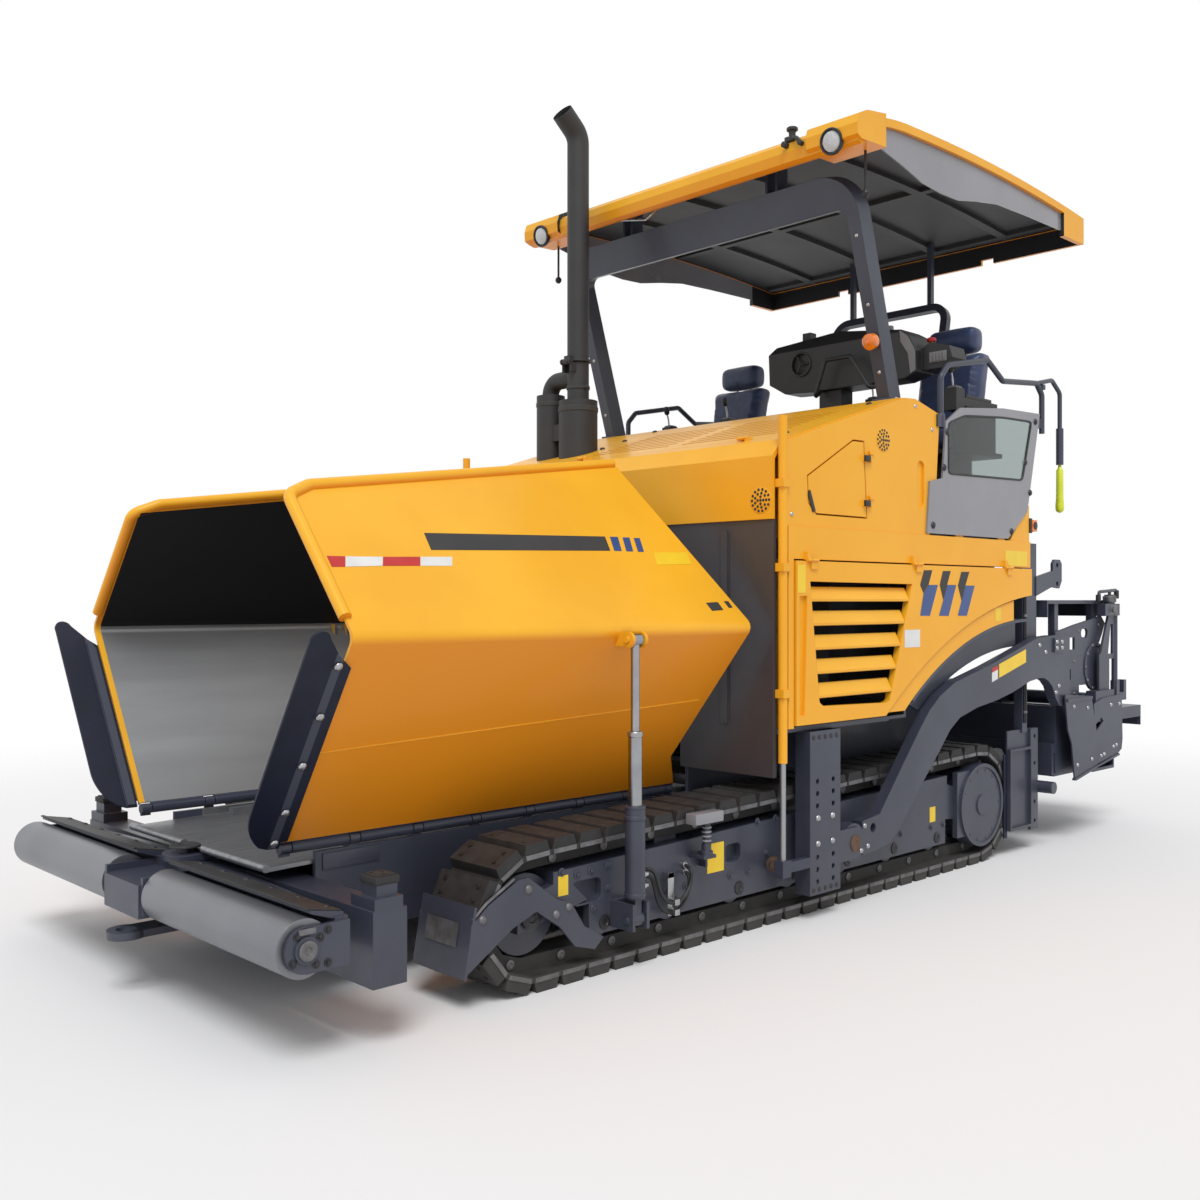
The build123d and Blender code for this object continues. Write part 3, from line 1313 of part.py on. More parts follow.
def push_beam():
    """Swinging beam with the roller brackets and the top scraper plates."""
    spread = 250
    end_y = push_roller_outer_y + 8
    z = (push_beam_bottom, push_beam_top)
    swing = math.tan(math.radians(push_swing))
    slim = beam_front_x + run_gap + end_y * swing
    outline = [
        (beam_front_x + run_gap + 4, -spread + 170), (beam_front_x + run_gap + 4, spread - 170),
        (slim, end_y), (3034, end_y), (3034, -end_y), (slim, -end_y),
    ]
    beam = plate_xy(outline, z)
    beam = beam + block((3030, 3250), (-push_roller_inner_y + 26, push_roller_inner_y - 26), (z[0], z[1] - 40))
    for sign in (1, -1):
        y = sorted((sign * (push_roller_inner_y - 26), sign * (push_roller_inner_y - 8)))
        beam = beam + block((3000, 3240), y, (push_roller_z - 75, push_roller_z + 75))
        y = sorted((sign * (push_roller_outer_y + 6), sign * (push_roller_outer_y + 22)))
        bracket = block((slim, push_roller_x), y, (push_roller_z - 80, push_roller_z + 75))
        bracket = bracket + bar_y(push_roller_x, y, push_roller_z, 78)
        y = sorted((sign * (push_roller_outer_y + 8), sign * (push_roller_outer_y + 30)))
        beam = beam + bracket + bar_y(push_roller_x, y, push_roller_z, 46)
    beam = beam - bar_z(push_pivot_x, 0, (0, 900), push_pin_radius + fit_gap)
    for sign in (1, -1):
        y = sorted((sign * (push_roller_inner_y - 40), sign * push_roller_outer_y))
        slope = [(2996, z[1] - 6), (3034, z[1] - 6), (3120, z[1] + 24), (3120, z[1] + 36), (2996, z[1] + 12)]
        beam = beam + plate_xz(slope, y)
    for sign in (1, -1):
        y = sorted((sign * (push_roller_inner_y - 27), sign * (push_roller_outer_y + 21)))
        beam = beam + bar_y(push_roller_x, y, push_roller_z, 20)
    return beam


def push_roller():
    """Hollow push roller on its fixed axle."""
    y = (push_roller_inner_y, push_roller_outer_y)
    roller = bar_y(push_roller_x, y, push_roller_z, push_roller_radius)
    return roller - bar_y(push_roller_x, (y[0] - 1, y[1] + 1), push_roller_z, 20 + 2 * fit_gap)


def wing_lines(distance):
    """Hinge, crease and top of the wing's section, moved square to the sheet."""
    low = line_offset((hinge_y, hinge_z), (crease_y, crease_z), distance)
    high = line_offset((crease_y, crease_z), (wing_top_y, wing_top_z), distance)
    return low[0], meet(low, high), high[1]


def meet(first, second):
    """Crossing of two straight section lines."""
    (x1, y1), (x2, y2) = first
    (x3, y3), (x4, y4) = second
    over = (x1 - x2) * (y3 - y4) - (y1 - y2) * (x3 - x4)
    one = x1 * y2 - y1 * x2
    two = x3 * y4 - y3 * x4
    return (one * (x3 - x4) - (x1 - x2) * two) / over, (one * (y3 - y4) - (y1 - y2) * two) / over


def wing():
    """Hopper wing: creased sheet, rolled trim, hinge segments and the cylinder's lug."""
    outer = wing_lines(0)
    inner = wing_lines(wing_sheet)
    section = Polygon(outer[0], outer[1], outer[2], inner[2], inner[1], inner[0], align=None)
    corners = section.vertices().sort_by(Axis.X)[-2:]
    section = fillet(corners, radius=45)
    plane = Plane(origin=(wing_rear_x - 60, 0, 0), x_dir=(0, 1, 0), z_dir=(1, 0, 0))
    sheet_metal = extrude(plane * section, amount=wing_front_x - wing_rear_x + 60, dir=(1, 0, 0))
    keep = [
        (wing_rear_x, 560), (wing_front_x, 560), (wing_front_x, 1880), (wing_front_x - 20, 1950),
        (wing_front_x - 80, 1990), (wing_rear_x + 240, 2262), (wing_rear_x + 5, 1470), (wing_rear_x + 125, 800),
        (wing_rear_x, 650),
    ]
    sheet_metal = sheet_metal & plate_xz(keep, (0, 1400))
    sheet_metal = sheet_metal - bar_x((500, 3000), hinge_y, hinge_z, hinge_radius - 2)
    parts = [sheet_metal]
    # rolled trim along the front and top edges
    def on_sheet(y):
        share = (crease_y - y) / (crease_y - wing_top_y)
        return crease_z + share * (wing_top_z - crease_z)
    near_top = 700
    trim = [
        (wing_front_x, crease_y - 60, on_sheet(crease_y - 60)),
        (wing_front_x, near_top, on_sheet(near_top)),
        (wing_front_x - 110, near_top - 40, on_sheet(near_top - 40)),
        (wing_rear_x + 250, wing_top_y + 16, on_sheet(wing_top_y + 16)),
    ]
    parts.append(tube_path(trim, trim_radius, 60))
    # hinge segments between the fixed knuckles
    places = knuckle_places()
    for first, second in zip(places[:-1], places[1:]):
        x = (first + knuckle_length + hinge_gap, second - hinge_gap)
        parts.append(bar_x(x, hinge_y, hinge_z, hinge_radius))
    # lug for the lifting cylinder
    for x in ((lift_x - 46, lift_x - 30), (lift_x + 30, lift_x + 46)):
        ear = block(x, (crease_y - 60, lift_y), (lift_eye_z - 28, crease_z - 4)) + bar_x(x, lift_y, lift_eye_z, 34)
        parts.append(ear)
    # the pin's two ends: its middle is left out, as the opened linkage drifts there
    for x in ((lift_x - 56, lift_x - 30), (lift_x + 30, lift_x + 56)):
        parts.append(bar_x(x, lift_y, lift_eye_z, 14))
    whole = joined(parts)
    whole = whole - bar_x((500, 3000), hinge_y, hinge_z, hinge_pin_radius + fit_gap)
    for x in places:
        gap = (x - hinge_gap, x + knuckle_length + hinge_gap)
        whole = whole - bar_x(gap, hinge_y, hinge_z, hinge_radius + hinge_gap)
    return whole


def apron():
    """Rubber apron at the wing's front edge with its rounded ends and bolted strip."""
    slope = math.atan2(crease_z - hinge_z, crease_y - hinge_y)
    plane = Plane(
        origin=(0, hinge_y, hinge_z),
        x_dir=(1, 0, 0),
        z_dir=(0, math.sin(slope), -math.cos(slope)),
    )
    front = apron_front_x
    # rubber seen square to the wing's lower sheet: x, height along the sheet
    edge = Polyline((2950, -905), (2886, -850), (2886, -46), (2914, -46), (2914, -16), (2958, -16), (3000, -31))
    low = ThreePointArc((3000, -31), (3058, -105), (front - 3, -215))
    side = Line((front - 3, -215), (front, -962))
    high = ThreePointArc((front, -962), (3056, -1008), (3012, -982))
    top = Line((3012, -982), (2950, -905))
    rubber = extrude(plane * make_face(edge + low + side + high + top), amount=apron_thickness)
    strip = Polygon((2928, -20), (2962, -20), (2962, -880), (2928, -850), align=None)
    clamp = extrude(plane * strip, amount=apron_thickness + strip_thickness)
    lift = plane.z_dir * (2 * fit_gap)
    return Pos(lift.X, lift.Y, lift.Z) * (rubber + clamp)


def lift_barrel():
    """Barrel of the wing cylinder."""
    low, top = lift_low_z, lift_barrel_top
    tube = bar_z(lift_x, lift_y, (low + 88, top), lift_barrel_radius)
    bore = lift_stage_radius + lift_slack
    tube = tube - bar_z(lift_x, lift_y, (low + 108, top + 1), bore)
    eye = bar_x((lift_x - 28, lift_x + 28), lift_y, low, 30) + block(
        (lift_x - 20, lift_x + 20), (lift_y - 20, lift_y + 20), (low, low + 90))
    return (tube + eye) - bar_x((lift_x - 60, lift_x + 60), lift_y, low, 15 + fit_gap)


def lift_stage():
    """Middle tube of the telescopic wing cylinder."""
    low = lift_barrel_top - 50
    tube = bar_z(lift_x, lift_y, (low, lift_stage_top), lift_stage_radius)
    return tube - bar_z(lift_x, lift_y, (low + 10, lift_stage_top + 1), lift_rod_radius + lift_slack)


def lift_rod():
    """Thin rod and eye of the wing cylinder."""
    rod = bar_z(lift_x, lift_y, (lift_stage_top - 50, lift_eye_z - 20), lift_rod_radius)
    eye = bar_x((lift_x - 24, lift_x + 24), lift_y, lift_eye_z, 27)
    return (rod + eye) - bar_x((lift_x - 60, lift_x + 60), lift_y, lift_eye_z, 14 + fit_gap)


def tow_arm():
    """Long bent arm from the tow point over the drive to the screed's side plate."""
    y = (arm_inner_y, arm_outer_y)
    arm = plate_xz(arm_outline, y)
    arm = arm + bar_y(tow_x, y, tow_z, arm_eye_radius)
    through = (arm_inner_y - 1, arm_outer_y + 1)
    arm = arm - bar_y(tow_x, through, tow_z, tow_pin_radius + fit_gap)
    arm = arm - bar_y(-156, through, 389, 24)
    # bolted flange and the lug at the rear end
    arm = arm + block((-2290, -2160), (arm_outer_y - 1, arm_outer_y + 12), (1235, 1325))
    # pin for the screed cylinder on the inner side
    hoist_pin = bar_y(hoist_low_x, (hoist_y - 44, arm_inner_y + 1), hoist_low_z, hoist_pin_radius)
    return arm + hoist_pin


def screed_frame():
    """Main screed: base plate, box, tamper housing, side plates, deck and tube guides."""
    front, depth = screed_front_x, screed_depth
    half = screed_half_width
    low, top = screed_base_z + screed_base_plate, screed_tube_top
    whole_y = (-half, half)
    parts = [block((front - depth, front + 20), whole_y, (screed_base_z, low))]
    parts.append(block((front - 18, front), whole_y, (low, top + 120)))
    parts.append(block((front - depth, front - depth + 18), whole_y, (low, top)))
    parts.append(block((front - depth, front), whole_y, (top - 18, top)))
    # tamper shield in front
    parts.append(block((front + 20, front + 50), whole_y, (screed_base_z + 8, 640)))
    parts.append(block((front, front + 21), whole_y, (580, 640)))
    for sign in (1, -1):
        parts.append(screed_side(sign))
    # deck with its folded front and rear edges, and the case above the guides
    deck_x = (front - deck_length, front + deck_overhang)
    parts.append(block(deck_x, whole_y, (deck_z - deck_fold, deck_z)))
    for x in ((deck_x[0], deck_x[0] + 14), (deck_x[1] - 14, deck_x[1])):
        parts.append(block(x, whole_y, (deck_z - 110, deck_z)))
    # guide blocks for the extension tubes
    for y in (-620, 420, -120):
        parts.append(block((-2990, front - depth + 17), (y, y + 200), (820, 980)))
        parts.append(block((front - depth, front - depth + 18), (y, y + 200), (top, 821)))
    whole = joined(parts)
    for x in (left_tube_x, right_tube_x):
        whole = whole - bar_y(x, (-700, 700), guide_tube_z, guide_tube_radius + 1)
    return whole


def screed_side(sign):
    """Side plate of the screed with its holes, round cover and the cheek the arm bolts to."""
    front = screed_front_x
    low = screed_base_z + screed_base_plate
    side = [
        (front, low), (front, 1358), (-2462, 1377), (-2600, 1400), (-2770, 1423), (-3004, 1459), (-3064, 1407),
        (-3016, 1330), (-2975, 1278), (-2860, 1262), (-2760, 1180), (-2720, 1010), (-2670, 1000), (-2660, low),
    ]
    y = sorted((sign * (screed_half_width - 16), sign * screed_half_width))
    plate = plate_xz(side, y)
    through = (y[0] - 1, y[1] + 1)
    # openings in the side plate: x, x, z, z
    for near, far, bottom, high in ((-2605, -2495, 1239, 1318), (-2550, -2435, 1040, 1110)):
        plate = plate - block((near, far), through, (bottom, high))
    for x in (-2732, -2764):
        plate = plate - bar_y(x, through, 1344, 32)
    cheek_y = sorted((sign * screed_half_width, sign * arm_outer_y))
    cheek = block((front - 60, front), cheek_y, (905, 1335))
    inner = block((front - 60, front), y, (860, 1350))
    cover_y = sorted((sign * (screed_half_width - 10), sign * (screed_half_width + 8)))
    rim_y = sorted((sign * (screed_half_width + 3), sign * (screed_half_width + 9)))
    cover = bar_y(-2905, cover_y, cover_z, cover_radius) - bar_y(-2905, rim_y, cover_z, cover_radius - 26)
    holder = block((-2960, -2700), y, (1000, 1180))
    # posts under the deck
    post_y = sorted((sign * (screed_half_width - 60), sign * (screed_half_width - 15)))
    posts = block((front - 70, front - 20), post_y, (1300, deck_z - 1))
    posts = posts + block((-2960, -2900), post_y, (1380, deck_z - 1))
    return joined([plate, inner, cheek, cover, holder, posts])


def screed_extension(tube_x):
    """Sliding side screed with its guide tube, end gates, cranks, clamp and footboard."""
    front, rear = extension_front_x, extension_front_x - extension_depth
    inner, outer = extension_inner_y, gate_inner_y
    low = screed_base_z + screed_base_plate
    parts = [block((rear, front), (inner, outer), (screed_base_z, low))]
    parts.append(block((front - 16, front), (inner, outer), (low, extension_top)))
    parts.append(block((rear, rear + 16), (inner, outer), (low, extension_top)))
    parts.append(block((rear, front), (inner, outer), (extension_top - 16, extension_top)))
    parts.append(end_gate())
    parts.append(block((rear, front - 40), (arm_outer_y - 53, outer), (extension_top - 1, 960)))
    parts.append(bar_y(tube_x, (-560, arm_outer_y - 52), guide_tube_z, guide_tube_radius))
    # footboard at the back with its arms
    for y in (200, 980):
        parts.append(block((rear - 60, rear + 1), (y, y + 60), (600, step_z + 1)))
    parts.append(block((step_rear_x, rear - 40), (inner + 20, outer - 20), (step_z, step_z + step_plate)))
    lip_z = (step_z - 60, step_z + 1)
    parts.append(block((step_rear_x, step_rear_x + 10), (inner + 20, outer - 20), lip_z))
    parts.append(crank())
    return joined(parts)


def end_gate():
    """Front and rear gate plates that hold the mix in at the screed's end."""
    y = (gate_inner_y, gate_inner_y + gate_thickness)
    ahead = [
        (-2276, 962), (-2316, 734), (-2370, 644), (-2411, 419), (-2747, 474), (-2740, 560), (-2733, 690), (-2661, 910),
        (-2661, 935),
    ]
    behind = [
        (-2740, 480), (-3060, 524), (-3119, 550), (-3134, 621), (-3119, 923), (-2834, 913), (-2690, 880), (-2700, 790),
    ]
    gate = plate_xz(ahead, y) + plate_xz(behind, y)
    # cut-out between the two plates
    gate = gate - plate_xz([(-2834, 759), (-2800, 785), (-2718, 742), (-2730, 700)], (y[0] - 1, y[1] + 1))
    # folded top edge of the front plate and the skid under both
    top_y = (gate_inner_y - 6, y[1] + 8)
    gate = gate + block((-2655, -2300), top_y, (915, 935))
    skid = [(-2402, 405), (-2411, 419), (-2747, 476), (-3060, 526), (-3075, 512), (-2747, 462), (-2420, 404)]
    return gate + plate_xz(skid, (top_y[0], top_y[1]))


def crank():
    """Height crank: screw, gearbox, slotted bracket, loop handle, clamp and upright pipe."""
    y = gate_inner_y - 40
    screw = bar_z(-3119, y, (560, 1480), 20)
    foot = block((-3140, -3018), (y - 22, gate_inner_y), (600, 660))
    gearbox = block((-3134, -2908), (y - 30, y + 30), (1459, 1540)) + bar_z(-3040, y, (1539, 1602), 34)
    bracket = plate_xz([(-2870, 1165), (-3104, 1165), (-3104, 1459), (-3010, 1460)], (y - 8, y + 8))
    bracket = bracket - plate_xz([(-3000, 1200), (-3075, 1200), (-3075, 1400), (-3040, 1400)], (y - 9, y + 9))
    arm = block((-3020, -2864), (y - 8, y + 8), (955, 1200))
    handle = tube_path([(-3040, y, 1595), (-3040, y, 1628), (-3150, y, 1634), (-3150, y, 1585)], 11, 20)
    grip = tube_path([(-3045, y, 1628), (-2880, y, 1620), (-2866, y, 1570)], 11, 20)
    clamp = block((-3259, -3104), (y - 22, y + 22), (876, 1015)) - block((-3220, -3150), (y - 24, y + 24), (930, 1016))
    return joined([screw, foot, gearbox, bracket, arm, handle, grip, clamp])


def hoist_axis():
    """Direction from the screed cylinder's lower pin to its upper pin."""
    return Vector(hoist_top_x - hoist_low_x, 0, hoist_top_z - hoist_low_z)


def hoist_piece(first, last, radius):
    """Round bar along the screed cylinder, measured from its upper pin."""
    direction = hoist_axis().normalized()
    start = Vector(hoist_top_x, hoist_y, hoist_top_z) - direction * first
    plane = Plane(origin=start, x_dir=(0, 1, 0), z_dir=-direction)
    return extrude(plane * Circle(radius), amount=last - first)


def hoist_barrel():
    """Barrel of the screed lifting cylinder, hung from the rear frame."""
    body = hoist_piece(52, hoist_barrel_length, hoist_barrel_radius) + hoist_piece(20, 60, 22)
    body = body - hoist_piece(60, hoist_barrel_length + 1, hoist_rod_radius + lift_slack)
    eye = bar_y(hoist_top_x, (hoist_y - 24, hoist_y + 24), hoist_top_z, 32)
    return (body + eye) - bar_y(hoist_top_x, (hoist_y - 60, hoist_y + 60), hoist_top_z, hoist_pin_radius + fit_gap)


def hoist_rod():
    """Rod of the screed lifting cylinder, its eye bored wide round the arm's pin."""
    length = hoist_axis().length
    rod = hoist_piece(hoist_barrel_length - 400, length - 30, hoist_rod_radius)
    eye_y = (hoist_y - 24, hoist_y + 24)
    eye = bar_y(hoist_low_x, eye_y, hoist_low_z, hoist_eye_radius)
    bore_y = (hoist_y - 60, hoist_y + 60)
    return (rod + eye) - bar_y(hoist_low_x, bore_y, hoist_low_z, hoist_pin_radius + hoist_eye_play)


def auger():
    """Screw conveyor: shaft with discrete overlapping flight segments."""
    shaft = bar_y(auger_x, (auger_inner_y - 50, 1112), auger_z, auger_shaft_radius)
    flights = []
    length = (auger_outer_y - auger_inner_y - 40) / flight_count
    for place in range(flight_count):
        y = auger_inner_y + 20 + (place + 0.5) * length
        turn = Rot(0, place * flight_turn, 0) * Rot(flight_slant, 0, 0) * Rot(90, 0, 0)
        reach = Pos(flight_offset, 0, 0) * Box(2 * auger_radius, 2 * auger_radius, 40)
        flights.append(Pos(auger_x, y, auger_z) * turn * (Cylinder(auger_radius, flight_plate) & reach))
    return joined([shaft, *flights])


def write(name, shape):
    """Save one sub-part under its node's name, moved so that the origin is the machine's middle."""
    middle_x = (tow_eye_x + tow_eye_radius + step_rear_x) / 2
    solids = [Pos(-middle_x, 0, 0) * solid for solid in shape.solids()]
    whole = solids[0] if len(solids) == 1 else Compound(solids)
    export_step(whole, os.path.join("parts", name + ".step"))


def write_pair(name, shape):
    """Save a left-hand piece and its mirrored twin."""
    write(name + "_left", shape)
    write(name + "_right", mirrored(shape))


def both(shape):
    """A left-hand piece and its twin as one node."""
    return together(shape, mirrored(shape))


os.makedirs("parts", exist_ok=True)
write("main_frame", main_frame())
write("deck_frame", deck_frame())
write("front_beam", front_beam())
write("rear_frame", rear_frame())
write("crawlers", both(crawler()))
write("track_frames", both(together(track_frame(), track_guards(), running_gear())))
write("tow_columns", both(tow_column()))
write("fenders", both(fender()))
write("levelling_rams", both(levelling_ram()))
write("hopper_floor", hopper_floor())
write("conveyor", conveyor())
write("bulkhead", bulkhead())
write("engine_block", engine_block())
write("hood", hood())
write("hood_lid", hood_lid())
write("side_bodies", both(side_body()))
write_pair("louvre_door", louvre_door())
write_pair("service_door", service_door())
write("platform", platform())
write("console", console())
write("console_slide", console_slide())
write("seat_bases", both(seat_base()))
write_pair("seat", seat_cushion())
write("side_screens", both(side_screen()))
write("screen_glass", both(screen_glass()))
write("handrails", both(handrail()))
write("canopy_arches", canopy_arches())
write("canopy_roof", canopy_roof())
write("roof_liner", roof_liner())
write("side_visors", both(side_visor()))
write("silencer", silencer())
write("exhaust_pipe", exhaust_pipe())
write("push_beam", push_beam())
write_pair("push_roller", push_roller())
write_pair("wing", wing())
write_pair("apron", apron())
write_pair("wing_barrel", lift_barrel())
write_pair("wing_stage", lift_stage())
write_pair("wing_rod", lift_rod())
write_pair("tow_arm", tow_arm())
write("screed_frame", screed_frame())
write("screed_extension_left", screed_extension(left_tube_x))
write("screed_extension_right", mirrored(screed_extension(right_tube_x)))
write_pair("hoist_barrel", hoist_barrel())
write_pair("hoist_rod", hoist_rod())
write_pair("auger", auger())
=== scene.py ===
import math

import bmesh
import bpy
from mathutils import Matrix, Vector


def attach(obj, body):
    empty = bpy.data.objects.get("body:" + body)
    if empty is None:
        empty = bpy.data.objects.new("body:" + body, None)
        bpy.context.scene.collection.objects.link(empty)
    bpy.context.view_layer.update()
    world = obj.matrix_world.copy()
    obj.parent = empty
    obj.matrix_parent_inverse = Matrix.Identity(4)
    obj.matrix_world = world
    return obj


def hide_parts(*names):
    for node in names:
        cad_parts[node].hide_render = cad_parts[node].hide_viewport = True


# Looks of an asphalt paver on crawler tracks, in metres: +X is the way it drives, +Y its left side

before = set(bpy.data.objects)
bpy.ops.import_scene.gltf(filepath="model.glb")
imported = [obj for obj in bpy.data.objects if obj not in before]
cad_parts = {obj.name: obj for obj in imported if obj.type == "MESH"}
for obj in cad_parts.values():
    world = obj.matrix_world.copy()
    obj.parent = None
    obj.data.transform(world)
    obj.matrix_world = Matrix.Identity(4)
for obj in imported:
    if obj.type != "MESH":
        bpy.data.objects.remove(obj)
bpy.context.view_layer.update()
print("frame loaded,", len(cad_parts), "nodes")

sides = (("left", 1), ("right", -1))


# Nodes: an input takes a number, a colour or another node's output

def addNode(tree, kind, inputs=None, **settings):
    node = tree.nodes.new(kind)
    for word, value in settings.items():
        setattr(node, word, value)
    for socket, value in (inputs or {}).items():
        if isinstance(value, bpy.types.NodeSocket):
            tree.links.new(value, node.inputs[socket])
        else:
            node.inputs[socket].default_value = value
    return node


def mathOf(tree, word, *values):
    return addNode(tree, "ShaderNodeMath", dict(enumerate(values)), operation=word).outputs[0]


def splitOf(tree, vector):
    return addNode(tree, "ShaderNodeSeparateXYZ", {0: vector}).outputs


def mixColour(tree, share, first, second):
    colours = [(*colour, 1) if isinstance(colour, tuple) else colour for colour in (first, second)]
    inputs = {0: share, 6: colours[0], 7: colours[1]}
    return addNode(tree, "ShaderNodeMix", inputs, data_type="RGBA").outputs[2]


def spreadOf(tree, value, fromRange=(0, 1), toRange=(0, 1), **settings):
    inputs = {"Value": value, "From Min": fromRange[0], "From Max": fromRange[1]}
    inputs.update({"To Min": toRange[0], "To Max": toRange[1]})
    return addNode(tree, "ShaderNodeMapRange", inputs, **settings).outputs["Result"]


def noiseOf(tree, vector, size, detail):
    inputs = {"Scale": 1 / size, "Detail": detail, "Vector": vector}
    return addNode(tree, "ShaderNodeTexNoise", inputs).outputs["Fac"]


# Camera, light and floor

cameraLook = {
    "place": (5.33, 4.8, 1.565),
    "heading": -133.84,  # degrees from +X, level
    "lens": 36.63,
    "sensor": 36.0,
    "clip": (0.05, 200),
}
lightLook = {
    "skyStrength": 0.62,
    "skyColour": (1.0, 1.0, 1.0),
    "backdrop": 1.0,
    "sunStrength": 1.7,
    "sunSoftness": 25.0,  # degrees
    "sunFrom": (0.45, 0.55, 1.0),
}
floorLook = {
    "half": 12.0,
    "depth": 0.001,
    "colour": (0.86, 0.86, 0.87),
    "clear": (5.0, 9.5),  # radii between which it melts into the backdrop
}


def makeCamera(look):
    data = bpy.data.cameras.new("camera")
    data.lens = look["lens"]
    data.sensor_width = look["sensor"]
    data.clip_start, data.clip_end = look["clip"]
    camera = bpy.data.objects.new("camera", data)
    camera.location = look["place"]
    camera.rotation_euler = (math.radians(90), 0, math.radians(look["heading"] - 90))
    bpy.context.collection.objects.link(camera)
    bpy.context.scene.camera = camera


def makeLight(look):
    world = bpy.data.worlds.new("studio")
    bpy.context.scene.world = world
    world.use_nodes = True
    tree = world.node_tree
    tree.nodes.clear()
    rays = addNode(tree, "ShaderNodeLightPath").outputs
    seen = rays["Is Camera Ray"]
    for ray in ("Is Glossy Ray", "Is Transmission Ray"):
        seen = mathOf(tree, "MAXIMUM", seen, rays[ray])
    skyInputs = {"Color": (*look["skyColour"], 1), "Strength": look["skyStrength"]}
    sky = addNode(tree, "ShaderNodeBackground", skyInputs)
    backdrop = addNode(tree, "ShaderNodeBackground", {"Color": (1, 1, 1, 1), "Strength": look["backdrop"]})
    mix = addNode(tree, "ShaderNodeMixShader", {0: seen, 1: sky.outputs[0], 2: backdrop.outputs[0]})
    addNode(tree, "ShaderNodeOutputWorld", {"Surface": mix.outputs[0]})

    data = bpy.data.lights.new("sun", "SUN")
    data.energy = look["sunStrength"]
    data.angle = math.radians(look["sunSoftness"])
    sun = bpy.data.objects.new("sun", data)
    sun.rotation_euler = Vector(look["sunFrom"]).to_track_quat("Z", "Y").to_euler()
    bpy.context.collection.objects.link(sun)


def makeFloor(look):
    half = look["half"]
    mesh = bpy.data.meshes.new("floor")
    corners = [(-half, -half, 0), (half, -half, 0), (half, half, 0), (-half, half, 0)]
    mesh.from_pydata(corners, [], [(0, 1, 2, 3)])
    floor = bpy.data.objects.new("floor", mesh)
    floor.location.z = -look["depth"]
    bpy.context.collection.objects.link(floor)
    finish = bpy.data.materials.new("floor")
    finish.use_nodes = True
    tree = finish.node_tree
    tree.nodes.clear()
    where = addNode(tree, "ShaderNodeTexCoord").outputs["Object"]
    reach = addNode(tree, "ShaderNodeVectorMath", {0: where}, operation="LENGTH").outputs["Value"]
    fade = spreadOf(tree, reach, look["clear"], interpolation_type="SMOOTHSTEP")
    plain = addNode(tree, "ShaderNodeBsdfDiffuse", {"Color": (*look["colour"], 1)}).outputs[0]
    clear = addNode(tree, "ShaderNodeBsdfTransparent").outputs[0]
    mix = addNode(tree, "ShaderNodeMixShader", {0: fade, 1: plain, 2: clear}).outputs[0]
    addNode(tree, "ShaderNodeOutputMaterial", {"Surface": mix})
    mesh.materials.append(finish)


makeCamera(cameraLook)
makeLight(lightLook)
makeFloor(floorLook)
bpy.context.scene.view_settings.view_transform = "Standard"
print("camera, light and floor made")

# Finishes: patch, grain and round are sizes in metres, colours are linear, dust reaches up to dustTop

